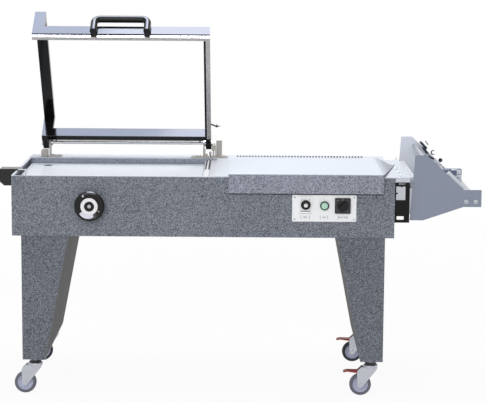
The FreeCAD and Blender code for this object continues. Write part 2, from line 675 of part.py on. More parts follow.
# Bearings of the shaft: a flanged bush behind the front wall and a pedestal from the floor.
flange = turned("Y", [("sheetWall", "shaftDiameter / 2 + shaftClearance"),
                      ("sheetWall", "shaftDiameter * 1.6"),
                      ("sheetWall + 4", "shaftDiameter * 1.6"), ("sheetWall + 4", "shaftDiameter"),
                      ("sheetWall + 14", "shaftDiameter"),
                      ("sheetWall + 14", "shaftDiameter / 2 + shaftClearance")])
pedestalY = "pinionY + gearWidth + 6"
pedestal = newBody()
pad(pedestal, "XZ", pedestalY, 14, rectangle(
    "wheelX - shaftDiameter * 1.2", "floorTop", "wheelX + shaftDiameter * 1.2",
    "wheelZ + shaftDiameter * 1.2"))
pad(pedestal, "XZ", f"{pedestalY} - 8", 30, rectangle(
    "wheelX - shaftDiameter * 2", "floorTop", "wheelX + shaftDiameter * 2", "floorTop + 5"))
pocket(pedestal, "XZ", pedestalY, 14, ("wheelX", "wheelZ", "shaftDiameter / 2 + shaftClearance"))
node(group(place(flange, "wheelX", 0, "wheelZ"), place(pedestal), *[place(bush) for bush in bushes]),
     "lift_bearings")

# Handwheel: a solid bakelite wheel with a full rim, dished towards its hub.
rim = "handwheelDiameter / 2"
handwheel = turned("Y", [
    ("-handwheelFace + 4", "shaftDiameter / 2"), ("-handwheelFace + 4", "ringInner / 2"),
    ("-handwheelFace + 4", "ringOuter / 2"),
    ("-handwheelFace + 3", "ringOuter / 2 + 3"), ("-handwheelFace", f"{rim} - 8"),
    ("-handwheelFace + 2", f"{rim} - 3"), ("-handwheelFace + 7", rim),
    ("-handwheelGap - 7", rim), ("-handwheelGap - 2", f"{rim} - 3"), ("-handwheelGap", f"{rim} - 8"),
    ("-handwheelGap", "shaftDiameter"), ("-handwheelGap + 10", "shaftDiameter"),
    ("-handwheelGap + 10", "shaftDiameter / 2")])
studX, studZ = "-handwheelDiameter * 0.2", "handwheelDiameter * 0.35"
pocket(handwheel, "XZ", "-handwheelFace", 1.2, (studX, studZ, 3))
node(place(handwheel, "wheelX", 0, "wheelZ"), "handwheel")

# Bright trim of the handwheel: the ring and one small stud.
trimRing = turned("Y", [("-handwheelFace + 1", "ringInner / 2"), ("-handwheelFace + 1", "ringOuter / 2"),
                        ("-handwheelFace + 4", "ringOuter / 2"), ("-handwheelFace + 4", "ringInner / 2")])
stud = turned("Y", [("-handwheelFace - 2", 0), ("-handwheelFace - 2", 3), ("-handwheelFace + 1.2", 3),
                    ("-handwheelFace + 1.2", 0)])
node(group(place(trimRing, "wheelX", 0, "wheelZ"),
           place(stud, f"wheelX + {studX}", 0, f"wheelZ + {studZ}")), "handwheel_trim")


# Sealing arm, closed, seen from its hinge line: X as in the machine, Y forward is negative.
def armPiece(piece):
    return place(piece, 0, "hingeY", "hingeZ", (1, 0, 0), "-openAngle")


arm = newBody()
pad(arm, "XY", "-armDrop", "barHeight", rectangle(
    "armLeft", "-armReach", "armRight", "-rearBarBack"))
pocket(arm, "XY", "-armDrop", "barHeight", rectangle(
    "armLeft + bridgeWidth", "-windowFront", "armRight - sideBar", "-rearBarReach"))
pocket(arm, "XY", "-armDrop", "barHeight", rectangle(
    "armLeft", "-windowFront", "armLeft + bridgeWidth", "-rearBarReach"))
for front, back in (("-armReach", "-windowFront"), ("-rearBarReach", "-rearBarBack")):
    pad(arm, "XY", "barTop", "bridgeTop - barTop",
        rectangle("armLeft", front, "armLeft + bridgeWidth", back))
pad(arm, "XY", "bridgeUnder", "bridgeBar", rectangle(
    "armLeft", "-windowFront", "armLeft + bridgeWidth", "-rearBarReach"))
# Hinge lugs: an arm from the rear bar to a round end on the hinge line.
for left in ("armLeft", "rightLugX"):
    pad(arm, "YZ", left, "lugWidth", (0, 0, "lugRadius"))
    pad(arm, "YZ", left, "lugWidth", [
        ("-rearBarBack", "-armDrop"), ("-rearBarBack + 8", "-armDrop"),
        ("-lugRadius * 0.6", "-lugRadius * 0.8"), (0, 0), (0, "lugRadius"),
        ("-lugRadius", "lugRadius"), ("-rearBarBack", "barTop")])
    pocket(arm, "YZ", left, "lugWidth", (0, 0, "hingeShaftDiameter / 2 + lugClearance"))
roundEdges(arm, 2.5, lambda edge: along((1, 0, 0))(edge) and edge.Length > 200)
node(armPiece(arm), "arm_frame")


def jaw(x0, x1, front, back):
    # A sealing jaw: a deep bar whose lower face carries a raised band for the wire.
    body = newBody()
    pad(body, "XY", "-jawDrop + 1", "jawDrop - armDrop - 1", rectangle(x0, front, x1, back))
    return body


frontJaw = jaw("armLeft + 1", "jawRightX", "-armReach + jawSetback", "-armReach + jawSetback + jawWidth")
pad(frontJaw, "XY", "-jawDrop", 1, rectangle(
    "armLeft + 3", "-armReach + jawSetback + jawWidth / 2 - 2", "jawRightX",
    "-armReach + jawSetback + jawWidth / 2 + 2"))
node(armPiece(frontJaw), "front_seal_jaw")
jawBack = "-armReach + jawSetback + jawWidth"
sideJaw = jaw("jawLeftX", "jawRightX", jawBack, "-rearBarReach")
pad(sideJaw, "XY", "-jawDrop", 1, rectangle(
    "jawLeftX + jawWidth / 2 - 2", jawBack, "jawLeftX + jawWidth / 2 + 2", "-rearBarReach - 3"))
node(armPiece(sideJaw), "side_seal_jaw")

# Handle: a round bar bent to a bow, its two ends flat against the arm's front face.
handleRadius = number("handleDiameter") / 2
handleX0 = number("handleLeft") + handleRadius
handleX1 = handleX0 + number("handleSpan") - 2 * handleRadius
handleY = -number("armReach") - handleRadius
handleZ0 = -number("armDrop")
handleZ1 = handleZ0 + number("handleTop") - handleRadius
handle = doc.addObject("Part::Feature", "Handle")
handle.Shape = bar([(handleX0, handleY, handleZ0), (handleX0, handleY, handleZ1),
                    (handleX1, handleY, handleZ1), (handleX1, handleY, handleZ0)],
                   handleRadius, number("handleBend"))
node(armPiece(handle), "arm_handle")

# Hinge brackets: an L plate on the left, a forked bracket and a square post on the right.
railTop = "cabinetTop"
leftBracket = newBody()
pad(leftBracket, "XZ", "bracketFront", "bracketDepth", [
    ("leftBracketX", railTop), ("leftBracketX + footLength", railTop),
    ("leftBracketX + footLength", "cabinetTop + bracketWall"),
    ("leftBracketX + bracketWall", "cabinetTop + bracketWall"),
    ("leftBracketX + bracketWall", "hingeZ + bracketTop"), ("leftBracketX", "hingeZ + bracketTop")])
bore = "hingeShaftDiameter / 2"
pocket(leftBracket, "YZ", "leftBracketX", "bracketWall", ("hingeY", "hingeZ", bore))
roundEdges(leftBracket, 6, along((1, 0, 0), 8))
stopBlock = block("armLeft - 9", "armLeft + 15", "bracketFront + 8", "bracketBack",
                  "cabinetTop", "cabinetTop + stopHeight")
roundEdges(stopBlock, 2, along((1, 0, 0)))
node(group(place(leftBracket), place(stopBlock)), "hinge_bracket_left")

# The right bracket has a shaft plate on each side of the lug and a front web, open in the
# middle where the lug comes down and the return rod passes.
rightBracket = newBody()
pad(rightBracket, "XY", railTop, "bracketWall", rectangle(
    "baseLeftX", "webFront", "baseRightX", "bracketBack"))
for left, webTop in (("cheekLeftX", "hingeZ - 19"), ("cheekRightX", "hingeZ - 5")):
    pad(rightBracket, "YZ", left, "bracketWall", [
        ("webFront", "cabinetTop + bracketWall"), ("bracketBack", "cabinetTop + bracketWall"),
        ("bracketBack", "hingeZ + bracketTop - 8"), ("bracketBack - 10", "hingeZ + bracketTop"),
        ("bracketFront + 10", "hingeZ + bracketTop"), ("bracketFront", "hingeZ + bracketTop - 8"),
        ("webFront", webTop)])
    pocket(rightBracket, "YZ", left, "bracketWall", ("hingeY", "hingeZ", bore))
pad(rightBracket, "XZ", "webFront", "bracketWall", [
    ("cheekLeftX", "cabinetTop + bracketWall"), ("rightLugX + 7", "cabinetTop + bracketWall"),
    ("rightLugX + 7", "hingeZ - 36"), ("rightLugX - 1", "hingeZ - 36"),
    ("rightLugX - 1", "hingeZ - 19"), ("cheekLeftX", "hingeZ - 19")])
pad(rightBracket, "XZ", "webFront", "bracketWall", [
    ("armRight + 13", "cabinetTop + bracketWall"), ("armRight + 17", "cabinetTop + bracketWall"),
    ("armRight + 17", "hingeZ - 5"), ("armRight + 1", "hingeZ - 5"),
    ("armRight + 1", "hingeZ - 25"), ("armRight + 13", "hingeZ - 25")])
pad(rightBracket, "XY", "cabinetTop + bracketWall", "hingeRise - bracketWall + bracketTop - 3",
    rectangle("postX", "hingeY - postWidth / 2", "postX + postWidth", "hingeY + postWidth / 2"))
node(place(rightBracket), "hinge_bracket_right")

# Hinge shaft: one long bar through both lugs and all three bracket plates, with collars
# that keep the arm in its place.
shaftLeft = "armLeft - 6"
hingeShaft = turned("X", [
    (shaftLeft, 0), (shaftLeft, "hingeShaftDiameter"), ("armLeft - runningGap", "hingeShaftDiameter"),
    ("armLeft - runningGap", bore), ("leftBracketX + bracketWall", bore),
    ("leftBracketX + bracketWall", "hingeShaftDiameter"),
    ("leftBracketX + bracketWall + 7", "hingeShaftDiameter"), ("leftBracketX + bracketWall + 7", bore),
    ("cheekLeftX + bracketWall", bore), ("cheekLeftX + bracketWall", "hingeShaftDiameter"),
    ("rightLugX - runningGap", "hingeShaftDiameter"), ("rightLugX - runningGap", bore),
    ("armRight + runningGap", bore), ("armRight + runningGap", "hingeShaftDiameter"),
    ("cheekRightX", "hingeShaftDiameter"), ("cheekRightX", bore),
    ("cheekRightX + bracketWall + 4", bore), ("cheekRightX + bracketWall + 4", 0)])
node(place(hingeShaft, 0, "hingeY", "hingeZ"), "hinge_shaft")

# Film table: a folded cover with a front apron, a nose that slopes down to the bridge plate
# and a comb of small teeth along its back edge.
table = newBody()
pad(table, "XY", "tableTop - tableWall", "tableWall", rectangle(
    "tableLeft", "-tableFront", "creaseX", "tableBack"))
pad(table, "XZ", "-tableFront", "tableBack + tableFront", [
    ("creaseX", "tableTop - tableWall"), ("noseX", "noseTop - tableWall"),
    ("noseX", "noseTop"), ("creaseX", "tableTop")])
pocket(table, "XY", "noseTop - tableWall - 1", "tableTop", [
    ("creaseX", "-tableFront - 1"), ("creaseX + 6", 1), ("noseX - 0.1", "tableBack * 0.634"),
    ("noseX - 21", "tableBack * 0.759"), ("creaseX + 16", "tableBack + 1"),
    ("noseX + 1", "tableBack + 1"), ("noseX + 1", "-tableFront - 1")])
pad(table, "XZ", "-tableFront", "tableWall", rectangle(
    "tableLeft", "tableTop - tableApron", "tableRight", "tableTop - tableWall"))
pad(table, "YZ", "tableLeft", "tableWall", rectangle(
    0, "cabinetTop", "tableBack", "tableTop - tableWall"))
pad(table, "YZ", "tableRight - tableWall", "tableWall", rectangle(
    0, "cabinetTop", "tableBack", "tableTop - tableWall"))
pad(table, "XZ", "tableBack - tableWall", "tableWall", rectangle(
    "tableLeft", "cabinetTop", "tableRight", "tableTop - tableWall"))
combX = "tableLeft + 24"
pad(table, "XY", "tableTop", "combHeight", rectangle(
    combX, "tableBack - 6", f"{combX} + combPitch / 2", "tableBack - 3"))
combTooth = table.Tip
comb = table.newObject("PartDesign::LinearPattern", "Comb")
comb.Originals = [combTooth]
comb.Direction = (combTooth.Profile[0], ["H_Axis"])
comb.setExpression("Length", formula("combPitch * (combTeeth - 1)"))
comb.setExpression("Occurrences", formula("combTeeth"))
table.Tip = comb
node(place(table), "film_table")

# Bridge plate from the cabinet to the cradle, with a lip folded down at its front.
bridge = newBody()
pad(bridge, "XY", "cabinetTop", "deckWall", rectangle(
    "tableRight + 8", 1, "supportRight", "cradleBack - 100"))
pad(bridge, "XZ", 1, "deckWall", rectangle(
    "cabinetLength + 1", "supportTop", "supportRight", "cabinetTop"))
node(place(bridge), "bridge_plate")

# Perforated angle beside the bridge plate: a flat leg with four holes and a leg turned down.
strip = newBody()
pad(strip, "YZ", "supportRight", "plateWall", rectangle(
    1, "supportTop", "cradleBack", "cabinetTop + deckWall - plateWall"))
stripFront, stripBack = "cradleFront + plateWall", "cradleBack - 130"
pad(strip, "XY", "cabinetTop + deckWall - plateWall", "plateWall", rectangle(
    "supportRight", stripFront, "supportRight + stripWidth", stripBack))
for y in (f"{stripFront} + 62", f"{stripFront} + 157", f"{stripBack} - 145", f"{stripBack} - 50"):
    pocket(strip, "XY", "cabinetTop + deckWall - plateWall", "plateWall",
           ("supportRight + stripWidth / 2 + 1", y, 5))
node(place(strip), "cradle_strip")

# Support: a black bracket at each end of the cradle, slotted top and bottom, and a long
# angle between them along the cabinet's end.
support = newBody()
pad(support, "YZ", "supportRight", "plateWall", rectangle(
    1, "supportBottom", "cradleBack", "supportTop"))
pocket(support, "YZ", "supportRight", "plateWall", rectangle(
    "cradleFront + 60", "supportBottom + 20", "cradleBack - 60", "supportTop - 20"))
for front in (1, "cradleBack - plateWall"):
    pad(support, "XZ", front, "plateWall", rectangle(
        "cabinetLength", "supportBottom", "supportRight", "supportTop"))
    pocket(support, "XZ", front, "plateWall",
           rectangle("cabinetLength + 12", "supportTop - 8", "supportRight - 12", "supportTop - 3"),
           rectangle("cabinetLength + 7", "supportBottom + 10", "supportRight - 16",
                     "supportBottom + 22"))
node(place(support), "cradle_support")


# Cradle plates: a tall plate with a slanted edge that runs down to a straight tongue.
def cradlePlate(y, inner):
    # The bores for journals and rods are blind, cut from the plate's inner face.
    body = newBody()
    pad(body, "XZ", y, "plateWall", [
        ("cradleX", "plateBottom"), ("cradleX + plateFoot", "plateBottom"),
        ("plateRight - tongueLength", "plateBottom + tongueRise"),
        ("plateRight", "plateBottom + tongueRise"),
        ("plateRight", "plateBottom + tongueRise + tongueHeight"),
        ("plateRight - tongueLength", "plateBottom + tongueRise + tongueHeight"),
        ("cradleX + plateLean + plateTop", "plateBottom + plateTall"),
        ("cradleX + plateLean", "plateBottom + plateTall")])
    roundEdges(body, 2, along((0, 1, 0)))
    for x, z in (("rollerLeftX", "rollerLeftZ"), ("rollerRightX", "rollerRightZ")):
        pocket(body, "XZ", inner, "plateWall - plateSkin", (x, z, "journalDiameter / 2 + journalClearance"))
    for x, z in (("upperRodX", "upperRodZ"), ("lowerRodX", "lowerRodZ")):
        pocket(body, "XZ", inner, "plateWall - plateSkin", (x, z, "rodDiameter / 2"))
    return body


frontPlate = cradlePlate("cradleFront", "cradleFront + plateSkin")
backPlate = cradlePlate("cradleBack - plateWall", "cradleBack - plateWall")
node(place(frontPlate), "cradle_plate_front")
node(place(backPlate), "cradle_plate_rear")

# Flanges that join the plates to the support, a tie bar in the tongues and two guide rods.
inside = "cradleLength - 2 * plateWall"
flanges = []
for y in ("cradleFront + plateWall", "cradleBack - 2 * plateWall"):
    body = newBody()
    pad(body, "XZ", y, "plateWall", rectangle(
        "supportRight + plateWall", "plateBottom + 20", "cradleX + 30", "plateBottom + 110"))
    flanges.append(place(body))
tieBar = newBody()
pad(tieBar, "XZ", "cradleFront + plateWall", inside, rectangle(
    "tieX - 25", "tieZ - 8", "tieX + 25", "tieZ + 8"))
shortage = "plateSkin + runningGap"
rods = [ring("XZ", f"cradleFront + {shortage}", f"cradleLength - 2 * ({shortage})", x, z, "rodDiameter / 2")
        for x, z in (("upperRodX", "upperRodZ"), ("lowerRodX", "lowerRodZ"))]
heads = []
for x in ("tieX - 16", "tieX + 16"):
    head = turned("Y", [("cradleFront - boltHeight", 0), ("cradleFront - boltHeight", "boltDiameter * 0.5"),
                        ("cradleFront - 2", "boltDiameter"), ("cradleFront", "boltDiameter"),
                        ("cradleFront", 0)])
    heads.append(place(head, x, 0, "tieZ"))
node(group(*flanges, place(tieBar), *[place(rod) for rod in rods], *heads), "cradle_rods")


def filmRoller(x, z, label):
    # A roller with a journal at each end, running in the cradle plates.
    gap, journal, rim = "plateWall + rollerGap", "journalDiameter / 2", "rollerDiameter / 2"
    start, end = shortage, f"cradleLength - ({shortage})"
    last = f"cradleLength - ({gap})"
    body = turned("Y", [
        (start, 0), (start, journal), (gap, journal), (gap, f"{rim} - 2"), (f"{gap} + 2", rim),
        (f"{last} - 2", rim), (last, f"{rim} - 2"), (last, journal), (end, journal), (end, 0)])
    node(place(body, x, "cradleFront", z), label)


filmRoller("rollerLeftX", "rollerLeftZ", "film_roller_left")
filmRoller("rollerRightX", "rollerRightZ", "film_roller_right")

# Perforator: a forked holder clamped on the lower rod, with a spiked wheel on a pin.
middleY = "cradleFront + cradleLength / 2"
holderX, holderZ = "lowerRodX + 30", "lowerRodZ + 6"
holder = newBody()
pad(holder, "XZ", f"{middleY} - 16", 32, rectangle(
    "lowerRodX - 12", "lowerRodZ - 10", "lowerRodX + 12", "lowerRodZ + 16"))
for y in (f"{middleY} - 16", f"{middleY} + 12"):
    pad(holder, "XZ", y, 4, [
        ("lowerRodX", "lowerRodZ - 8"), (f"{holderX} + 8", f"{holderZ} - 8"),
        (f"{holderX} + 8", f"{holderZ} + 8"), ("lowerRodX", "lowerRodZ + 16")])
pocket(holder, "XZ", f"{middleY} - 16", 32, ("lowerRodX", "lowerRodZ", "rodDiameter / 2"))
pad(holder, "XZ", f"{middleY} - 16", 32, (holderX, holderZ, 3))
node(place(holder), "perforator_holder")
perforator = turned("Y", [
    (-8, "3 + shaftClearance"), (-8, 7), (-3, 7), (-2, "perforatorDiameter / 2 - 3"),
    (0, "perforatorDiameter / 2"), (2, "perforatorDiameter / 2 - 3"), (3, 7), (8, 7),
    (8, "3 + shaftClearance")])
node(place(perforator, holderX, middleY, holderZ), "perforator_wheel")

# Control panel on the front wall, with its timer, pilot light and cam switch.
panelRight, panelTop = "panelLeft + panelWidth", "panelBottom + panelHeight"
panel = newBody()
pad(panel, "XZ", "-panelWall", "panelWall", rectangle("panelLeft", "panelBottom", panelRight, panelTop))
roundEdges(panel, 4, along((0, 1, 0)))
pocket(panel, "XZ", "-panelWall", "panelWall", ("timerX", "knobZ", "spindleDiameter"),
       ("pilotX", "controlZ", "spindleDiameter"), ("switchX", "controlZ", "spindleDiameter"))
node(place(panel), "control_panel")


def squareBody(x, z, side, label, boreZ):
    # A square bezel on the panel with its works behind the front wall and a bore for the
    # spindle. The boss passes through the holes of panel and wall.
    half = f"{side} / 2"
    body = newBody()
    pad(body, "XZ", "-panelWall - 5", 5, rectangle(f"{x} - {half}", f"{z} - {half}",
                                                   f"{x} + {half}", f"{z} + {half}"))
    roundEdges(body, 2.5, along((0, 1, 0)))
    pad(body, "XZ", "-panelWall", "panelWall + sheetWall", (x, boreZ, "spindleDiameter - 0.2"))
    pad(body, "XZ", "sheetWall", 50, rectangle(f"{x} - {half} + 3", f"{z} - {half} + 3",
                                               f"{x} + {half} - 3", f"{z} + {half} - 3"))
    pocket(body, "XZ", "-panelWall - 5", 30, (x, boreZ, "spindleDiameter / 2 + spindleClearance"))
    node(place(body), label)


squareBody("timerX", "timerZ", "timerSquare", "timer_body", "knobZ")
squareBody("switchX", "controlZ", "switchSquare", "switch_body", "controlZ")

knobBack = "-panelWall - 5 - runningGap"
knob = turned("Y", [
    (18, 0), (18, "spindleDiameter / 2"), (knobBack, "spindleDiameter / 2"),
    (knobBack, "knobDiameter / 2"), (f"{knobBack} - 4", "knobDiameter / 2"),
    (f"{knobBack} - 6", "knobDiameter / 2 - 3"), (f"{knobBack} - 14", "knobDiameter / 2 - 4.5"),
    (f"{knobBack} - 15", "knobDiameter / 2 - 5.5"), (f"{knobBack} - 15", 0)])
node(place(knob, "timerX", 0, "knobZ"), "timer_knob")

pilot = turned("Y", [
    (40, 0), (40, 9), ("sheetWall", 9), ("sheetWall", "spindleDiameter - 0.2"),
    ("-panelWall", "spindleDiameter - 0.2"), ("-panelWall", "pilotDiameter / 2"),
    ("-panelWall - 5", "pilotDiameter / 2"), ("-panelWall - 7", "pilotDiameter / 2 - 2"),
    ("-panelWall - 7", "pilotDiameter / 2 - 5"), ("-panelWall - 12", "pilotDiameter / 2 - 5"),
    ("-panelWall - 14", "pilotDiameter / 2 - 8"), ("-panelWall - 14.5", 0)])
node(place(pilot, "pilotX", 0, "controlZ"), "pilot_light")

# Switch handle: a disc on the spindle with a raised bar across it, turned to its off place.
switchBack = "-panelWall - 5 - runningGap"
lever = turned("Y", [
    (18, 0), (18, "spindleDiameter / 2"), (switchBack, "spindleDiameter / 2"),
    (switchBack, 19), (f"{switchBack} - 3", 19), (f"{switchBack} - 5", 17), (f"{switchBack} - 5", 0)])
pad(lever, "XZ", f"{switchBack} - 20", 16, [(-6, -18), (6, -18), (6, 18), (0, 23), (-6, 18)])
node(place(lever, "switchX", 0, "controlZ", (0, 1, 0), 45), "switch_handle")

# Side box on the cabinet's left margin: a housing with a chamfered lower corner.
side = newBody()
pad(side, "XZ", "boxFront", "boxDepth", [
    ("-boxReach", "boxTop - boxHeight + 14"), ("-boxReach + 16", "boxTop - boxHeight"),
    ("-runningGap", "boxTop - boxHeight"), ("-runningGap", "cabinetTop"),
    ("boxInside", "cabinetTop"), ("boxInside", "cabinetTop + 6"), ("-boxReach", "cabinetTop + 6")])
roundEdges(side, 3, lambda edge: along((0, 1, 0))(edge) and edge.CenterOfMass.x < -10)
node(place(side), "side_box")

# Transformer on the cabinet floor: a laminated core, a winding and mounting feet.
coreLow, footWall = "floorTop + 4", 4
core = newBody()
pad(core, "XZ", "coreY - coreDepth / 2", "coreDepth", rectangle(
    "coreX - coreWidth / 2", coreLow, "coreX + coreWidth / 2", f"{coreLow} + coreHeight"))
for side in ("-1", "1"):
    pocket(core, "XZ", "coreY - coreDepth / 2", "coreDepth", rectangle(
        f"coreX + {side} * (coreWidth / 2 - coreLimb)", f"{coreLow} + coreLimb",
        f"coreX + {side} * coreLimb", f"{coreLow} + coreHeight - coreLimb"))
pad(core, "XY", "floorTop", footWall, rectangle(
    "coreX - coreWidth / 2 - 15", "coreY - coreDepth / 2 - 5",
    "coreX + coreWidth / 2 + 15", "coreY + coreDepth / 2 + 5"))
coil = newBody()
coilLow, coilTall = f"{coreLow} + coreLimb + 2", "coreHeight - 2 * coreLimb - 4"
pad(coil, "XY", coilLow, coilTall, rectangle(
    "coreX - coreLimb - coilWall", "coreY - coreDepth / 2 - coilWall",
    "coreX + coreLimb + coilWall", "coreY + coreDepth / 2 + coilWall"))
pocket(coil, "XY", coilLow, coilTall, rectangle(
    "coreX - coreLimb", "coreY - coreDepth / 2", "coreX + coreLimb", "coreY + coreDepth / 2"))
roundEdges(coil, 6, along((0, 0, 1)))
node(group(place(core), place(coil)), "transformer")

# Cable gland in the back wall.
gland = turned("Y", [
    (-10, 4), (-10, 12), ("-sheetWall", 12), ("-sheetWall", 8), (0, 8), (0, 13), (8, 13),
    (10, 10), ("glandReach - 2", 10), ("glandReach", 8), ("glandReach", 4)])
node(place(gland, "cabinetLength - 90", "cabinetDepth", "cabinetBottom + 60"), "cable_gland")


# Plated fixings: bolts of the hinge brackets and bridge plate, panel screws, the stop
# angle at the front left corner, the bright plate of the support and the return rod.
def bolt(x, y, z):
    head = turned("Z", [(0, 0), (0, "boltDiameter / 2"), ("boltHeight - 1.5", "boltDiameter / 2"),
                        ("boltHeight", "boltDiameter / 4"), ("boltHeight", 0)])
    return place(head, x, y, z)


onBracket = "cabinetTop + bracketWall"
onBridge = "cabinetTop + deckWall"
fixings = [bolt(f"leftBracketX + bracketWall + {x}", "hingeY", onBracket) for x in (8, 19, 30)]
fixings += [bolt(x, "hingeY", onBracket) for x in ("baseLeftX + 20", "baseLeftX + 31", "baseRightX - 13")]
fixings += [bolt("cabinetLength + 20", y, onBridge) for y in (40, 120, 220, 330)]
for x in ("panelLeft + 8", f"{panelRight} - 8"):
    for z in ("panelBottom + 8", f"{panelTop} - 8"):
        screw = turned("Y", [(-2, 0), (-2, 1.5), (-0.8, 3.5), (0, 3.5), (0, 0)])
        fixings.append(place(screw, x, "-panelWall", z))
angle = newBody()
pad(angle, "XZ", 8, 14, [
    (22, "beamTop"), ("armLeft - 1", "beamTop"), ("armLeft - 1", "cabinetTop + 19"),
    (22, "cabinetTop + 19"), (22, "cabinetTop + 17"), ("armLeft - 5", "cabinetTop + 17"),
    ("armLeft - 5", "beamTop + 2"), (22, "beamTop + 2")])
fixings.append(place(angle))
bright = newBody()
pad(bright, "XZ", -1, 2, rectangle("cabinetLength + 4", "supportTop - 60", "supportRight - 12",
                                   "supportTop - 14"))
fixings.append(place(bright))
node(group(*fixings), "plated_fixings")

# Return rod: from the right bracket's base, under the lug and down to the sealing beam,
# with a ball where it bends.
rodX, rodRadius = number("armRight") - 4, 2.5
rodFoot, rodLow = number("cabinetTop") + number("bracketWall"), number("beamTop") + rodRadius
rodHigh, rodRear = rodFoot + 18, number("bracketFront") + 10
rod = bar([(rodX, rodRear, rodFoot), (rodX, rodRear, rodHigh),
           (rodX, number("wellBack") - 16, rodLow), (rodX, number("wellBack") - 29, rodLow)],
          rodRadius, 5)
ball = Part.makeSphere(5, FreeCAD.Vector(rodX, rodRear - 7, rodHigh - 3.5))
returnRod = doc.addObject("Part::Feature", "ReturnRod")
returnRod.Shape = rod.fuse(ball)
node(place(returnRod), "return_rod")


# Casters. Each is drawn about its swivel axis with the wheel trailing to -X.
def casterStem(x, y):
    return place(turned("Z", [
        ("crownBottom", 0), ("crownBottom", "stemDiameter / 2"), ("raceBottom", "stemDiameter / 2"),
        ("raceBottom", "raceDiameter / 2"), ("raceBottom + raceHeight", "raceDiameter / 2"),
        ("raceBottom + raceHeight + 2", "raceDiameter / 3"),
        ("raceBottom + raceHeight + 2", "stemDiameter / 2"),
        ("casterHeight - 6", "stemDiameter / 2"), ("casterHeight - 6", "stemDiameter * 0.85"),
        ("casterHeight", "stemDiameter * 0.85"), ("casterHeight", "stemDiameter / 2"),
        ("casterHeight + sheetWall", "stemDiameter / 2"),
        ("casterHeight + sheetWall", "stemDiameter * 0.85"),
        ("casterHeight + sheetWall + 8", "stemDiameter * 0.85"),
        ("casterHeight + sheetWall + 8", "stemDiameter / 2"),
        ("casterHeight + sheetWall + 14", "stemDiameter / 2"), ("casterHeight + sheetWall + 14", 0)]),
        x, y)


def caster(label, x, y, turn, braked):
    fork = newBody()
    pad(fork, "XY", "crownBottom", "crownHeight", (0, 0, "crownDiameter / 2"))
    roundEdges(fork, 2, lambda edge: edge.Curve.TypeId == "Part::GeomCircle")
    for side in ("-cheekOuter", "cheekInner"):
        pad(fork, "XZ", side, "forkWall", [
            ("-casterTrail - 10", "wheelRadius - 3"), ("-casterTrail - 3", "wheelRadius - 10"),
            ("-casterTrail + 3", "wheelRadius - 10"), ("-casterTrail + 10", "wheelRadius - 3"),
            ("crownDiameter * 0.42", "crownBottom - 6"), ("crownDiameter * 0.44", "crownBottom + 2"),
            ("-casterTrail * 0.9", "crownBottom + 2"), ("-casterTrail - 12", "crownBottom - 14")])
    pocket(fork, "XY", "crownBottom", "crownHeight", (0, 0, "stemDiameter / 2 + shaftClearance"))
    if braked:
        pad(fork, "XZ", "-cheekOuter - 1.5", "2 * cheekOuter + 3",
            ("-casterTrail - 2", "wheelDiameter + 8", 2.5))
        for side in ("-cheekOuter", "cheekInner"):
            pad(fork, "XZ", side, "forkWall", [
                ("-casterTrail - 12", "crownBottom - 16"), ("-casterTrail * 0.7", "crownBottom - 16"),
                ("-casterTrail * 0.7", "crownBottom + 2"), ("-casterTrail - 8", "crownBottom - 8")])
    pad(fork, "XZ", "-cheekOuter - 4", "2 * cheekOuter + 8", ("-casterTrail", "wheelRadius", "axleDiameter / 2"))
    for side in ("-cheekOuter - 4", "cheekOuter"):
        pad(fork, "XZ", side, 4, ("-casterTrail", "wheelRadius", "axleDiameter * 0.8"))
    node(place(fork, x, y, 0, turn=turn), f"caster_fork_{label}")

    half = "wheelWidth / 2"
    hub = turned("Y", [
        (f"-{half}", "axleDiameter / 2 + shaftClearance"), (f"-{half}", 9), ("-wheelWidth / 4", 11),
        ("-wheelWidth / 4", "hubDiameter / 2 - 4"), (f"-{half} + 1", "hubDiameter / 2 - 3"),
        (f"-{half} + 1", "hubDiameter / 2"), (f"{half} - 1", "hubDiameter / 2"),
        (f"{half} - 1", "hubDiameter / 2 - 3"), ("wheelWidth / 4", "hubDiameter / 2 - 4"),
        ("wheelWidth / 4", 11), (half, 9), (half, "axleDiameter / 2 + shaftClearance")])
    tyre = turned("Y", [
        (f"-{half} + 1", "hubDiameter / 2"), (f"-{half}", "hubDiameter / 2 + 2"),
        (f"-{half}", "wheelRadius - 3"), (f"-{half} + 3", "wheelRadius - 0.5"),
        (f"-{half} + 6", "wheelRadius"), (f"{half} - 6", "wheelRadius"),
        (f"{half} - 3", "wheelRadius - 0.5"), (half, "wheelRadius - 3"),
        (half, "hubDiameter / 2 + 2"), (f"{half} - 1", "hubDiameter / 2")])
    for piece, kind in ((hub, "hub"), (tyre, "tyre")):
        piece.setExpression("Placement", formula(
            f"placement(vector(shiftX + {x} - casterTrail * cos({turn} * 1deg); "
            f"shiftY + {y} - casterTrail * sin({turn} * 1deg); wheelRadius); "
            f"rotation(vector(0; 0; 1); {turn}))"))
        node(piece, f"caster_{kind}_{label}")
    if braked:
        pedal = newBody()
        pivotX, pivotZ = "-casterTrail - 2", "wheelDiameter + 8"
        pad(pedal, "XZ", "-cheekInner + runningGap", "2 * (cheekInner - runningGap)", [
            (f"{pivotX} + 6", f"{pivotZ} - 4"), (f"{pivotX} + 6", f"{pivotZ} + 4"),
            (f"{pivotX} - 46", f"{pivotZ} + 5"), (f"{pivotX} - 58", f"{pivotZ} + 1"),
            (f"{pivotX} - 57", f"{pivotZ} - 2"), (f"{pivotX} - 44", f"{pivotZ} + 1"),
            (f"{pivotX} - 8", f"{pivotZ} - 4")])
        roundEdges(pedal, 1, lambda edge: along((0, 1, 0))(edge) and edge.CenterOfMass.x < -90)
        pocket(pedal, "XZ", "-cheekInner", "2 * cheekInner", (pivotX, pivotZ, "2.5 + shaftClearance"))
        node(place(pedal, x, y, 0, turn=turn), f"brake_pedal_{label}")


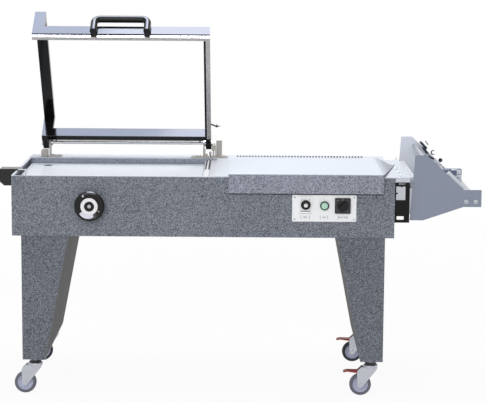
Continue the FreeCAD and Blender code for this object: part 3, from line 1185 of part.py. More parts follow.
corners = [("front_left", "casterLeftX", "casterFrontY", "0", False),
           ("rear_left", "casterLeftX", "casterRearY", "turnedCaster", False),
           ("front_right", "casterRightX", "casterFrontY", "0", True),
           ("rear_right", "casterRightX", "casterRearY", "0", True)]
node(group(*[casterStem(x, y) for label, x, y, turn, braked in corners]), "caster_stems")
for corner in corners:
    caster(*corner)

doc.recompute()

# Checks before anything is written.
failed = [item for item in doc.Objects if "Invalid" in item.State or "Error" in item.State]
if failed:
    raise RuntimeError("failed: " + ", ".join(f"{item.Name} of {item.getParent().Label}"
                                              if item.getParent() else item.Label for item in failed))
for before, after in cuts:
    if not after.Shape.Volume < before.Shape.Volume - 0.5:
        raise RuntimeError(f"{after.Name} in {after.getParent().Label} cuts nothing")
labels = [piece.Label for piece in nodes]
if len(set(labels)) != len(labels) or len(labels) > 60:
    raise RuntimeError(f"{len(labels)} nodes, {len(set(labels))} names")
for piece in nodes:
    if piece.Shape.isNull() or not piece.Shape.isValid():
        raise RuntimeError(f"{piece.Label} has no valid shape")

os.makedirs("parts", exist_ok=True)
for piece in nodes:
    piece.Shape.exportStep(os.path.join("parts", piece.Label + ".step"))
box = Part.makeCompound([piece.Shape for piece in nodes]).BoundBox
print(f"{len(nodes)} nodes, X {box.XMin:.2f} to {box.XMax:.2f}, Y {box.YMin:.2f} to {box.YMax:.2f}, "
      f"Z {box.ZMin:.2f} to {box.ZMax:.2f}")
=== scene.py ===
import bmesh
import bpy
import json
import math
import numpy as np
from mathutils import Matrix, Vector


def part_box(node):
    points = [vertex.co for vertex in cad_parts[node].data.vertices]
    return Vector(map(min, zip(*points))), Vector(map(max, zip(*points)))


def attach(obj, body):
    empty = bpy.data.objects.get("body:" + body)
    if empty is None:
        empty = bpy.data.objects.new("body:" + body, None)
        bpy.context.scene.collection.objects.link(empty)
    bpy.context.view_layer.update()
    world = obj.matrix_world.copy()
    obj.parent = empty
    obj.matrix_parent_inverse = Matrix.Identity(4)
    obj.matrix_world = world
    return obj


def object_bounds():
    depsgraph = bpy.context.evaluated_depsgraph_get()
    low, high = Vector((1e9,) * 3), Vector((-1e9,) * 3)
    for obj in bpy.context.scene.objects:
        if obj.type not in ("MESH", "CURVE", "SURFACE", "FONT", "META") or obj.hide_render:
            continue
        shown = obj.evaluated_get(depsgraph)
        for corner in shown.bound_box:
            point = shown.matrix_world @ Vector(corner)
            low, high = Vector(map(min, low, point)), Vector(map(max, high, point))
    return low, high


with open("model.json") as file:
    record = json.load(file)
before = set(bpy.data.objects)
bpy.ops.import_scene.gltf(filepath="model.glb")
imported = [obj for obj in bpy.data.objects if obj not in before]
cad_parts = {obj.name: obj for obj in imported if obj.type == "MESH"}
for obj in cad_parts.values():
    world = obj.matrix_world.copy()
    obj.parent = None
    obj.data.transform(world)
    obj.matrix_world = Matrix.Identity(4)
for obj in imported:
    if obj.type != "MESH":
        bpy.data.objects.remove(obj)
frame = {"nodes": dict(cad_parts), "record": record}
nodes = frame["nodes"]
joints = {joint["name"]: joint for joint in frame["record"]["behaviour"]["joints"]}
cadLow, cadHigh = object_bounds()
cabinetLow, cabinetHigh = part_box("cabinet_shell")
print("frame: machine loaded with", len(nodes), "parts")


# Places. Millimetres from the cabinet's left end, its front face and the floor.
def fromCabinet(points):
    corner = np.array([cabinetLow.x, cabinetLow.y, cadLow.z])
    return corner + np.asarray(points, float) / 1000


def onArm(points):
    # Millimetres on the closed arm: x from the cabinet's left end, y and z from the hinge
    # line. They are turned back up about the hinge line by the whole travel of the joint.
    points = np.asarray(points, float) / 1000
    lift = joints["arm_lift"]
    turn = math.radians(lift["range_deg"][1] - lift["range_deg"][0])
    y = points[..., 1] * math.cos(turn) + points[..., 2] * math.sin(turn)
    z = points[..., 2] * math.cos(turn) - points[..., 1] * math.sin(turn)
    return np.stack([cabinetLow.x + points[..., 0], lift["pos_m"][1] + y,
                     lift["pos_m"][2] + z], -1)


class Value:
    # One shader value: a link from a socket. Sums, products and powers of it add Math nodes.
    def __init__(self, owner, link):
        self.owner, self.link = owner, link

    def maths(self, operation, *others):
        return self.owner.node("ShaderNodeMath", {"operation": operation},
                               sockets=dict(enumerate((self,) + others)))

    def flipped(self, operation, other):
        return self.owner.node("ShaderNodeMath", {"operation": operation},
                               sockets={0: other, 1: self})

    def __add__(self, other):
        return self.maths("ADD", other)

    def __sub__(self, other):
        return self.maths("SUBTRACT", other)

    def __mul__(self, other):
        return self.maths("MULTIPLY", other)

    def __truediv__(self, other):
        return self.maths("DIVIDE", other)

    def __pow__(self, other):
        return self.maths("POWER", other)

    def __rsub__(self, other):
        return self.flipped("SUBTRACT", other)

    def __rtruediv__(self, other):
        return self.flipped("DIVIDE", other)

    __radd__ = __add__
    __rmul__ = __mul__

    def above(self, level, width=0.0):
        # 0 below the level and 1 above it, with a soft step of the given width
        if not width:
            return self.maths("GREATER_THAN", level)
        return ((self - (level - width / 2)) / width).clamped()

    def between(self, low, high, width=0.0):
        return self.above(low, width) * (1 - self.above(high, width))

    def clamped(self):
        return self.maths("MAXIMUM", 0).maths("MINIMUM", 1)


def tone(red, green, blue):
    # a screen colour from 0 to 255, made linear
    parts = np.array([red, green, blue]) / 255
    linear = np.where(parts <= 0.04045, parts / 12.92, ((parts + 0.055) / 1.055) ** 2.4)
    return (*[float(part) for part in linear], 1.0)


def scaled(colour, share):
    return (*[min(1.0, part * share) for part in tone(*colour)[:3]], 1.0)


class Nodes:
    # A node tree in which every node comes from one method.
    def __init__(self, tree):
        self.tree = tree

    def feed(self, socket, value):
        if isinstance(value, Value):
            self.tree.links.new(value.link, socket)
        else:
            socket.default_value = value

    def node(self, kind, settings=None, output=0, sockets=None):
        node = self.tree.nodes.new(kind)
        for key, value in (settings or {}).items():
            setattr(node, key, value)
        for key, value in (sockets or {}).items():
            self.feed(node.inputs[key], value)
        return Value(self, node.outputs[output])

    def seenDirectly(self):
        # 1 for camera, glossy and transmission rays, 0 for the light that falls on things
        rays = [self.node("ShaderNodeLightPath", output=f"Is {kind} Ray")
                for kind in ("Camera", "Glossy", "Transmission")]
        return rays[0].maths("MAXIMUM", rays[1]).maths("MAXIMUM", rays[2])


class Finish(Nodes):
    # A Principled material built by name, with patterns on Object coordinates in metres.
    def __init__(self, name, **fixed):
        self.material = bpy.data.materials.new(name)
        self.material.use_nodes = True
        super().__init__(self.material.node_tree)
        self.shader = self.tree.nodes["Principled BSDF"]
        for socket, value in fixed.items():
            self.shader.inputs[socket.replace("_", " ")].default_value = value
        self.place = self.node("ShaderNodeTexCoord", output="Object")

    def axis(self, letter):
        return self.node("ShaderNodeSeparateXYZ", output="XYZ".index(letter),
                         sockets={"Vector": self.place})

    def radius(self, middle, letters="XZ"):
        # distance from an axis through a point, across the two named directions
        sides = [self.axis(letter) - middle["XYZ".index(letter)] for letter in letters]
        return (sides[0] * sides[0] + sides[1] * sides[1]) ** 0.5

    def grain(self, size, detail=2.0, rough=0.5, stretch=(1, 1, 1)):
        # soft noise whose blobs are about one size across, from 0 to 1
        mapped = self.node("ShaderNodeMapping", sockets={"Vector": self.place, "Scale": stretch})
        return self.node("ShaderNodeTexNoise", sockets={
            "Vector": mapped, "Scale": 1 / size, "Detail": detail, "Roughness": rough})

    def cells(self, size, output="Color"):
        cell = self.node("ShaderNodeTexVoronoi", output=output,
                         sockets={"Vector": self.place, "Scale": 1 / size})
        if output == "Distance":
            return cell
        return self.node("ShaderNodeSeparateColor", sockets={"Color": cell})

    def blend(self, factor, low, high):
        return self.node("ShaderNodeMix", {"data_type": "RGBA"}, 2, {0: factor, 6: low, 7: high})

    def wear(self, **links):
        for socket, value in links.items():
            self.feed(self.shader.inputs[socket.replace("_", " ")], value)
        return self

    def bump(self, height, strength, distance=0.001):
        self.wear(Normal=self.node("ShaderNodeBump", sockets={
            "Height": height, "Strength": strength, "Distance": distance}))
        return self


def dress(finish, *names):
    for name in names:
        mesh = nodes[name].data
        mesh.materials.clear()
        mesh.materials.append(finish.material)


paint = {
    "cellSize": 0.0020, "fleckSize": 0.0012, "gloss": 0.38,
    "cabinet": ((8, 12, 24), (170, 176, 188)), "leg": ((4, 8, 16), (154, 159, 170)),
    "rail": ((104, 110, 126), (190, 196, 210)), "apron": ((48, 53, 68), (198, 203, 218)),
    "top": (214, 220, 232), "edge": 0.0022, "tableRise": 0.0095, "apronWidth": 0.526,
}


def hammertone(name, colours, top=None, shadow=None):
    # Hammered enamel: small cells, each of its own grey, broken up by finer flecks. Faces
    # above the top height are pale, the last millimetres below it carry a painted highlight, and the
    # band under an apron carries a painted shadow.
    finish = Finish(name, Specular_IOR_Level=0.1)
    cell = finish.cells(paint["cellSize"])
    fleck = finish.grain(paint["fleckSize"], 1.0)
    broad = finish.grain(0.30, 1.0)
    level = (cell * 0.75 + (fleck - 0.5) * 0.9 + 0.125 + (broad - 0.5) * 0.14).clamped()
    colour = finish.blend(level, tone(*colours[0]), tone(*colours[1]))
    height = finish.axis("Z")
    if shadow is not None:
        # painted shadow under the film table's apron, blended to a dark grey
        colour = finish.blend(shadow(finish, height), colour, tone(34, 36, 44))
    if top is not None:
        # painted highlight: the last millimetres under the top are blended part way to the pale top colour
        edge = height.above(top - paint["edge"], paint["edge"])
        colour = finish.blend(edge * 0.6, colour, tone(*paint["top"]))
        colour = finish.blend(height.above(top - 0.0003), colour, tone(*paint["top"]))
    finish.wear(Base_Color=colour, Roughness=paint["gloss"] - 0.08 + cell * 0.16)
    return finish.bump(finish.cells(paint["cellSize"], "Distance"), 0.2, 0.0005)


def sheetMetal(name, colour, rough=0.34, metal=0.0, drawn=(1, 60, 60), contrast=0.05, fine=0.03):
    # Sheet with a faint grain drawn out along one direction and slightly uneven gloss.
    finish = Finish(name, Metallic=metal, Specular_IOR_Level=0.12)
    lines = finish.grain(fine, 3.0, 0.6, drawn)
    cloud = finish.grain(0.12, 2.0)
    shade = ((lines - 0.5) * 4 * contrast + (cloud - 0.5) * 2 * contrast + 0.5).clamped()
    finish.colour = finish.blend(shade, scaled(colour, 1 - 2 * contrast),
                                 scaled(colour, 1 + contrast))
    finish.wear(Base_Color=finish.colour, Roughness=rough + (lines - 0.5) * 0.16)
    return finish.bump(lines, 0.05, 0.0003)


def enamel(name, colour, rough=0.16, specular=0.5, mottle=0.08, peel=0.006):
    # Smooth enamel or moulding: orange peel in the gloss and slow changes of tone.
    finish = Finish(name, Specular_IOR_Level=specular)
    cloud = finish.grain(0.09, 3.0)
    finish.colour = finish.blend(cloud, scaled(colour, 1 - mottle), scaled(colour, 1 + mottle))
    finish.wear(Base_Color=finish.colour, Roughness=rough + (cloud - 0.5) * 0.08)
    return finish.bump(finish.grain(peel), 0.04, 0.0004)


def plated(name, colour=(214, 216, 222), rough=0.18, stain=0.10):
    # Bright plating with fine polishing lines and a few duller clouds.
    finish = Finish(name, Metallic=1.0)
    cloud = finish.grain(0.02, 3.0)
    line = finish.grain(0.004, 2.0, 0.5, (1, 8, 8))
    finish.colour = finish.blend(cloud, scaled(colour, 1 - 2 * stain), tone(*colour))
    finish.wear(Base_Color=finish.colour, Roughness=rough + (line - 0.5) * 0.14)
    return finish.bump(line, 0.03, 0.0002)


def sealPadFinish():
    # Matt silicone. The rear half of the side pad carries a painted reflection of the raised
    # arm's black bar: dark where x is more than the pale middle's half width from the pad's middle line.
    band = {"from": 0.200, "wire": 0.0026, "colour": (30, 32, 38)}
    finish = enamel("siliconePad", (226, 227, 230), 0.5, 0.3)
    low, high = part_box("side_seal_jaw")
    away = (finish.axis("X") - (low.x + high.x) / 2).maths("ABSOLUTE")
    # painted reflection of the raised arm: two dark bands either side of the pad's middle line
    paintedArmReflection = away.above(band["wire"]) * finish.axis("Y").above(cabinetLow.y + band["from"], 0.004)
    return finish.wear(Base_Color=finish.blend(paintedArmReflection, finish.colour, tone(*band["colour"])))


def pilotFinish():
    # A pale green lens inside its own radius and a dark green bezel outside it.
    low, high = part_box("pilot_light")
    finish = Finish("pilotLight", Roughness=0.2, Specular_IOR_Level=0.5)
    middle = (low + high) / 2
    away = finish.radius((middle.x, middle.y, middle.z))
    ripple = finish.grain(0.003, 2.0)
    lens = finish.blend(ripple, tone(172, 214, 190), tone(196, 234, 212))
    ring = finish.blend(ripple, tone(18, 48, 40), tone(34, 66, 58))
    finish.wear(Base_Color=finish.blend(away.above(0.0112, 0.001), lens, ring))
    return finish.bump(ripple, 0.06, 0.0003)


def switchFinish():
    # Dark moulding whose face is a little paler inside a black border.
    low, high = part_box("switch_body")
    finish = enamel("switchMoulding", (24, 24, 26), 0.45, 0.3)
    sides = [(finish.axis(letter) - (low[k] + high[k]) / 2).maths("ABSOLUTE")
             for letter, k in (("X", 0), ("Z", 2))]
    inner = 1 - sides[0].maths("MAXIMUM", sides[1]).above(0.0225, 0.001)
    return finish.wear(Base_Color=finish.blend(inner, finish.colour, tone(66, 67, 72)))


def tableFinish():
    # The folded film table: pale top, hammertone apron and dark comb teeth.
    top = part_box("deck_plate")[1].z + paint["tableRise"]
    apron = hammertone("filmTablePaint", paint["apron"], top)
    comb = apron.axis("Z").above(top + 0.0006)
    colour = Value(apron, apron.shader.inputs["Base Color"].links[0].from_socket)
    return apron.wear(Base_Color=apron.blend(comb, colour, tone(52, 55, 64)))


def legPanelShadeAndHighlight():
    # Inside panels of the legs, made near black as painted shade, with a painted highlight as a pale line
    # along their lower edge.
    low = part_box("leg_panels")[0].z
    # painted shade: the panels take a near-black colour in place of the legs' hammertone
    finish = enamel("legPanelPaint", (16, 16, 16), 0.5, 0.12)
    # painted highlight: a pale line along the lower edge
    edge = 1 - finish.axis("Z").above(low + 0.006, 0.004)
    return finish.wear(Base_Color=finish.blend(edge, finish.colour, tone(150, 152, 160)))


def stemFinish():
    # Plated caster stems with a black race.
    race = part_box("caster_fork_front_left")[1].z
    finish = plated("casterStemPlate", (200, 202, 208), 0.28)
    black = finish.axis("Z").between(race + 0.0005, race + 0.0056)
    finish.wear(Metallic=1 - black)
    return finish.wear(Base_Color=finish.blend(black, finish.colour, tone(20, 20, 22)))


def gapDark(finish, height):
    # painted shadow: the band of the cabinet's front just under the film table's apron
    low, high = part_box("film_table")
    band = height.between(low.z - 0.0042, low.z + 0.003, 0.001)
    return band * finish.axis("X").between(low.x, low.x + paint["apronWidth"])


corners = ("front_left", "rear_left", "front_right", "rear_right")
glossBlack = enamel("glossBlackEnamel", (14, 14, 15), 0.10, 0.24)
blackPanel = enamel("blackPanelPaint", (20, 20, 20), 0.45, 0.15)
steel = sheetMetal("brushedSteel", (186, 188, 196), 0.30, 1.0, (1, 40, 40), 0.10)
zinc = plated("zincPlate", (196, 199, 206), 0.30)
bright = plated("brightPlate", (214, 214, 216), 0.16)
bakelite = enamel("bakelite", (14, 14, 15), 0.16, 0.3)
whiteTrim = enamel("whiteTrim", (240, 240, 242), 0.3, 0.4, 0.02)
darkSteel = sheetMetal("darkSteel", (62, 66, 80), 0.4, 0.4, (30, 1, 30), 0.16)
inkPaint = enamel("inkPaint", (44, 46, 52), 0.5, 0.2)
faintInk = enamel("faintInk", (186, 190, 198), 0.5, 0.2)
paleSteel = sheetMetal("paleSteel", (226, 230, 238), 0.3, 0.1, (1, 30, 30), 0.05)

dress(hammertone("cabinetPaint", paint["cabinet"], cabinetHigh.z, gapDark), "cabinet_shell", "cabinet_floor")
dress(hammertone("railPaint", paint["rail"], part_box("rear_rail")[1].z), "rear_rail")
dress(hammertone("legPaint", paint["leg"]), "leg_left", "leg_right")
dress(tableFinish(), "film_table")
dress(legPanelShadeAndHighlight(), "leg_panels")
dress(blackPanel, "cradle_support")
dress(steel, "tray_lift", "pinion_shaft", "cradle_rods")
dress(sheetMetal("beamSteel", (216, 219, 226), 0.32, 0.3, (1, 40, 40), 0.06),
      "front_seal_beam", "side_seal_beam", "cradle_strip")
dress(sealPadFinish(), "seal_pads")
dress(sheetMetal("deckSheet", (212, 218, 228), 0.34), "deck_plate", "bridge_plate")
dress(zinc, "lift_bearings", "plated_fixings", "perforator_wheel",
      *[f"caster_fork_{corner}" for corner in corners])
dress(stemFinish(), "caster_stems")
# the front and rear cradle plates are one sheet: the front's darker tone is painted shade and the rear's
# paler tone is painted light
dress(sheetMetal("cradleSheet", (150, 157, 174), 0.42, 0.0, (40, 40, 1), 0.07), "cradle_plate_front")
dress(sheetMetal("cradlePaleSheet", (234, 239, 250), 0.40, 0.0, (40, 40, 1), 0.05), "cradle_plate_rear")
dress(sheetMetal("holderSheet", (118, 128, 150), 0.42, 0.0, (30, 1, 30), 0.10), "perforator_holder")
dress(enamel("panelFace", (250, 252, 255), 0.4, 0.3, 0.02), "control_panel", "timer_body")
dress(switchFinish(), "switch_body")
dress(enamel("boxPlastic", (22, 22, 23), 0.24, 0.4), "side_box", "cable_gland")
dress(sheetMetal("coreIron", (70, 66, 62), 0.6, 0.3, (1, 1, 90), 0.2), "transformer")
dress(sheetMetal("bracketSteel", (176, 172, 166), 0.36, 0.5, (30, 30, 1), 0.12),
      "hinge_bracket_left", "hinge_bracket_right")
dress(bright, "return_rod", "hinge_shaft")
dress(plated("jawPlate", (196, 193, 190), 0.22), "front_seal_jaw", "side_seal_jaw")
dress(sheetMetal("traySheet", (228, 233, 242), 0.34), "tray")
dress(bakelite, "handwheel", "timer_knob", "switch_handle")
dress(whiteTrim, "handwheel_trim")
dress(glossBlack, "arm_frame", "arm_handle")
dress(sheetMetal("rollerMetal", (178, 182, 190), 0.32, 0.9, (40, 1, 40), 0.08),
      "film_roller_left", "film_roller_right")
dress(enamel("treadRubber", (112, 114, 126), 0.55, 0.3, 0.12, 0.002),
      "caster_tyre_front_left", "caster_tyre_front_right")
# painted shade: the rear tyres are the front tyres' grey tread made darker
dress(enamel("darkTread", (52, 54, 62), 0.55, 0.3, 0.12, 0.002),
      "caster_tyre_rear_left", "caster_tyre_rear_right")
dress(enamel("hubPlastic", (196, 200, 222), 0.4, 0.4, 0.05), *[f"caster_hub_{c}" for c in corners])
dress(enamel("brakePlastic", (150, 40, 36), 0.4, 0.4, 0.1),
      "brake_pedal_front_right", "brake_pedal_rear_right")
dress(pilotFinish(), "pilot_light")
print("finishes: every part dressed")


# Meshes. Arrays of points in, one closed mesh out.
def unit(vectors):
    return vectors / np.linalg.norm(vectors, axis=-1, keepdims=True)


def gridFaces(rows, columns):
    # four-sided faces between neighbouring rows, closed around the columns
    start = np.arange(rows - 1)[:, None] * columns
    here, after = np.arange(columns), np.roll(np.arange(columns), -1)
    faces = np.stack([start + here, start + after, start + columns + after, start + columns + here], -1)
    return faces.reshape(-1, 4).tolist()


def makePiece(name, rings, finish, body, smooth=35):
    # Rings of points become a closed skin: faces between the rings and a cap on each end.
    rows, columns = rings.shape[:2]
    faces = gridFaces(rows, columns)
    faces += [list(range(columns))[::-1], list(range((rows - 1) * columns, rows * columns))]
    mesh = bpy.data.meshes.new(name)
    mesh.from_pydata(rings.reshape(-1, 3).tolist(), [], faces)
    shape = bmesh.new()
    shape.from_mesh(mesh)
    bmesh.ops.remove_doubles(shape, verts=shape.verts, dist=1e-6)
    bmesh.ops.recalc_face_normals(shape, faces=shape.faces)
    shape.to_mesh(mesh)
    shape.free()
    mesh.shade_smooth()
    mesh.set_sharp_from_angle(angle=math.radians(smooth))
    mesh.materials.append(finish.material)
    piece = bpy.data.objects.new(name, mesh)
    bpy.context.scene.collection.objects.link(piece)
    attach(piece, body)
    return piece


def turnedRings(profile, middle, axis, sides=32):
    # point = middle + height along the axis + radius times (cosine u, sine u) across it
    axis = unit(np.asarray(axis, float))
    across = unit(np.cross(axis, [0.3, 0.2, 1.0] if abs(axis[2]) < 0.9 else [1.0, 0, 0]))
    other = np.cross(axis, across)
    u = np.linspace(0, 2 * math.pi, sides, endpoint=False)[None, :, None]
    radius, height = (np.asarray(profile, float)[:, k, None, None] for k in (0, 1))
    return np.asarray(middle, float) + height * axis + radius * (np.cos(u) * across + np.sin(u) * other)


def carriedRings(section, path, level=(0, 1, 0)):
    # point = path point + section x along the side + section y along the rise, where the
    # side is square to the path and to a level direction
    path, section = np.asarray(path, float), np.asarray(section, float)
    ahead = unit(np.gradient(path, axis=0))
    side = unit(np.cross(ahead, np.asarray(level, float)))
    rise = np.cross(side, ahead)
    return path[:, None] + section[None, :, :1] * side[:, None] + section[None, :, 1:] * rise[:, None]


def circle(radius, sides=16):
    u = np.linspace(0, 2 * math.pi, sides, endpoint=False)
    return radius * np.stack([np.cos(u), np.sin(u)], -1)


def inset(outline, distance):
    # every corner moves inwards along the mitre of its two edges
    def normal(edges):
        return unit(np.stack([-edges[:, 1], edges[:, 0]], -1))
    before = normal(outline - np.roll(outline, 1, 0))
    after = normal(np.roll(outline, -1, 0) - outline)
    return outline + distance * (before + after) / (1 + (before * after).sum(-1, keepdims=True))


def plateRings(outline, thickness, edge, middle=(0, 0, 0), right=(1, 0, 0), up=(0, 0, 1)):
    # An outline given anticlockwise, carried through its thickness, with its two rims inset
    # by the edge so that they catch the light: point = middle + x right + y up + depth.
    outline = np.asarray(outline, float)
    right, up = unit(np.asarray(right, float)), unit(np.asarray(up, float))
    depth = np.cross(right, up)
    steps = ((edge, 0), (0, edge), (0, thickness - edge), (edge, thickness))
    rings = []
    for amount, height in steps:
        rim = inset(outline, amount)
        rings.append(rim[:, :1] * right + rim[:, 1:] * up - height * depth)
    return np.asarray(middle, float) + np.array(rings)


def box2(width, height):
    return [(-width / 2, -height / 2), (width / 2, -height / 2), (width / 2, height / 2),
            (-width / 2, height / 2)]


def sloped(degrees):
    # the right and up directions of a plate turned about the depth: cosine and sine of the slope
    turn = math.radians(degrees)
    return (math.cos(turn), 0, math.sin(turn)), (-math.sin(turn), 0, math.cos(turn))


def along(start, end, steps):
    # points in equal steps from the start to the end
    share = np.linspace(0, 1, steps)[:, None]
    return np.asarray(start, float) * (1 - share) + np.asarray(end, float) * share


wheelMiddle = (np.array(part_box("handwheel")[0]) + np.array(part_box("handwheel")[1])) / 2
# pale trim that stands for a painted highlight on the handwheel's dished face
paleTrim = enamel("paleTrim", (226, 226, 240), 0.3, 0.4, 0.06)
pinSteel = plated("pinSteel", (206, 196, 178), 0.3)
crescent = {
    # millimetres and degrees round the wheel's middle
    "inner": 28.5, "outer": 42.5, "from": 216, "to": 294, "thick": 1.4, "edge": 0.3, "proud": 0.4,
    "pin": {"x": 31.5, "z": -16.0, "slope": -38, "long": 7, "tall": 2.6, "thick": 1.6, "edge": 0.6},
}


def handwheelTrim():
    # Crescent plate over the ring, a pale plate that stands for a painted highlight on the wheel's dished
    # face: the outer radius draws in by the fourth power of the way to its end and by the sixth power of the
    # way back to its start. A small pin sits beside it.
    share = np.linspace(0, 1, 25)
    angle = np.radians(crescent["from"] + (crescent["to"] - crescent["from"]) * share)
    outer = crescent["outer"] - 5 * share ** 4 - 2 * (1 - share) ** 6
    turn = np.stack([np.cos(angle), np.sin(angle)], -1)
    outline = np.concatenate([turn * outer[:, None], (turn * crescent["inner"])[::-1]])
    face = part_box("handwheel")[0].y - crescent["proud"] / 1000
    front = np.array([wheelMiddle[0], face, wheelMiddle[2]])
    makePiece("handwheelCrescent", plateRings(outline / 1000, crescent["thick"] / 1000,
                                              crescent["edge"] / 1000, front),
              paleTrim, "handwheel")
    pin = crescent["pin"]
    place = front + np.array([pin["x"], 0, pin["z"]]) / 1000
    outline = np.array(box2(pin["long"], pin["tall"])) / 1000
    makePiece("handwheelPin", plateRings(outline, pin["thick"] / 1000, pin["edge"] / 1000, place,
                                         *sloped(pin["slope"])),
              pinSteel, "handwheel")


handwheelTrim()

panelPrints = {
    "face": -2.0, "thick": 0.3,
    "dial": {"inner": 18.2, "outer": 20.6, "ticks": 13, "sweep": 270, "numberSize": 8.5,
             "numbers": (("7", -13.5, 17.5), ("1", 12.5, 17.5))},
    "labels": (("SEC", 996.9, 30), ("ON", 1060.4, 26.5), ("OFF ON", 1123.7, 32)),
    "lines": (("dialLine", (34, 2.2), 651.4, inkPaint), ("dialUnderline", (46, 1.6), 643.2, faintInk)),
    "cap": [(0, 0), (6.2, 0), (6.6, -0.4), (6.6, -1.0), (5.8, -1.5), (0, -1.5)],
    "pointer": {"wide": 1.6, "tall": 6, "thick": 0.6, "edge": 0.2, "proud": 2.0, "rise": 3.5},
    "marks": (("switchTriangle", [(-2.2, -2.2), (2.2, -2.2), (0, 2.4)], 1123.5, 692.6),
              ("switchMark", [(-2.4, -1.2), (-1.8, -1.6), (0, 0.6), (1.8, -1.6), (2.4, -1.2), (0, 1.8)],
               1105.5, 690)),
    "labelHeight": 630.8, "letters": 7.6, "bracket": 11.5, "reach": 2.2, "stroke": 0.9,
}


def printPlate(name, outline, x, z, finish=None, body="base", face=None):
    y = panelPrints["face"] if face is None else face
    makePiece(name, plateRings(np.array(outline) / 1000, panelPrints["thick"] / 1000, 0.00004,
                               fromCabinet((x, y - panelPrints["thick"], z))),
              finish or inkPaint, body)


def lettering(name, words, size, x, z, face=None):
    # Flat letters, made a mesh and then stood up on a face: letter y becomes height.
    curve = bpy.data.curves.new(name, "FONT")
    curve.body, curve.size, curve.extrude = words, size / 1000, 0.0001
    curve.align_x, curve.align_y = "CENTER", "CENTER"
    holder = bpy.data.objects.new(name + "Curve", curve)
    mesh = bpy.data.meshes.new_from_object(holder)
    bpy.data.objects.remove(holder)
    flat = np.empty(len(mesh.vertices) * 3)
    mesh.vertices.foreach_get("co", flat)
    flat = flat.reshape(-1, 3)
    face = panelPrints["face"] if face is None else face
    standing = fromCabinet((x, face - panelPrints["thick"] / 2, z)) + np.stack(
        [flat[:, 0], -flat[:, 2], flat[:, 1]], -1)
    mesh.vertices.foreach_set("co", standing.reshape(-1))
    mesh.materials.clear()
    mesh.materials.append(inkPaint.material)
    mesh.name = name
    piece = bpy.data.objects.new(name, mesh)
    bpy.context.scene.collection.objects.link(piece)
    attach(piece, "base")


def controlPanel():
    # A tick is a bar turned to its own angle: point = radius times (cosine, sine) of it.
    # Each label stands between two square brackets.
    timerLow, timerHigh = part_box("timer_knob")
    knob = (timerLow + timerHigh) / 2
    x, z = (knob.x - cabinetLow.x) * 1000, (knob.z - cadLow.z) * 1000
    dial = panelPrints["dial"]
    face = (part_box("timer_body")[0].y - cabinetLow.y) * 1000
    angles = np.radians(90 + np.linspace(-dial["sweep"] / 2, dial["sweep"] / 2, dial["ticks"]))
    for k, angle in enumerate(angles):
        middle = (dial["inner"] + dial["outer"]) / 2
        wide = 1.0 if k % 3 == 0 else 0.6
        spoke = np.array(box2(dial["outer"] - dial["inner"], wide))
        turn = np.array([[math.cos(angle), math.sin(angle)], [-math.sin(angle), math.cos(angle)]])
        printPlate(f"dialTick{k}", spoke @ turn, x + middle * math.cos(angle),
                   z + middle * math.sin(angle), face=face)
    for k, (words, over, up) in enumerate(dial["numbers"]):
        lettering(f"dialNumber{k}", words, dial["numberSize"], x + over, z + up, face)
    for name, size, height, ink in panelPrints["lines"]:
        printPlate(name, box2(*size), x - 0.5, height, ink)
    height, reach, stroke = (panelPrints[key] for key in ("bracket", "reach", "stroke"))
    for k, (words, middle, wide) in enumerate(panelPrints["labels"]):
        lettering(f"label{k}", words, panelPrints["letters"], middle, panelPrints["labelHeight"])
        for side, way in (("Left", -1), ("Right", 1)):
            foot = [(0, -height / 2), (reach, -height / 2), (reach, stroke - height / 2),
                    (stroke, stroke - height / 2)]
            outline = np.array(foot + [(across, -rise) for across, rise in foot[::-1]])
            if way > 0:
                outline = (outline * (-1, 1))[::-1]
            printPlate(f"label{k}Bracket{side}", outline, middle + way * wide / 2,
                       panelPrints["labelHeight"])
    cap = np.array(panelPrints["cap"]) / 1000
    makePiece("timerCap", turnedRings(cap, (knob.x, timerLow.y, knob.z), (0, 1, 0)),
              whiteTrim, "timer_knob")
    pointer = panelPrints["pointer"]
    outline = np.array(box2(pointer["wide"], pointer["tall"])) / 1000
    place = (knob.x, timerLow.y - pointer["proud"] / 1000, knob.z + pointer["rise"] / 1000)
    makePiece("timerPointer", plateRings(outline, pointer["thick"] / 1000, pointer["edge"] / 1000, place),
              inkPaint, "timer_knob")
    plate = (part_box("switch_body")[0].y - cabinetLow.y) * 1000
    for name, outline, across, height in panelPrints["marks"]:
        printPlate(name, outline, across, height, faintInk, face=plate)


controlPanel()
print("controls: dial, labels and marks")

warmSteel = plated("warmSteel", (214, 206, 198), 0.24)
returnBar = {
    "y": 521, "z": 829.4, "radius": 2.5, "from": 77, "to": 636,
    "nut": [(2.6, 0), (5.2, 0), (5.6, 0.5), (5.6, 4.0), (5.2, 4.5), (2.6, 4.5)],
    "nuts": (("returnBarNut", 94), ("returnBarEndNut", 622)),
}
terminal = {
    # on the closed arm, all at one depth
    "y": -116.7, "sleeve": ((664, -33), (672, -35), (680, -40), (688, -46)), "sleeveRadius": 2.6,
    "fork": (689.5, -44.5), "thick": 1.6, "edge": 0.3,
    "prongs": [(-3, -2), (3, -2), (3, 2), (9, 6), (8, 8.5), (0, 3.4), (-6, 6), (-7.4, 4)],
    "right": (0.85, 0, -0.5), "up": (0.5, 0, 0.85),
}


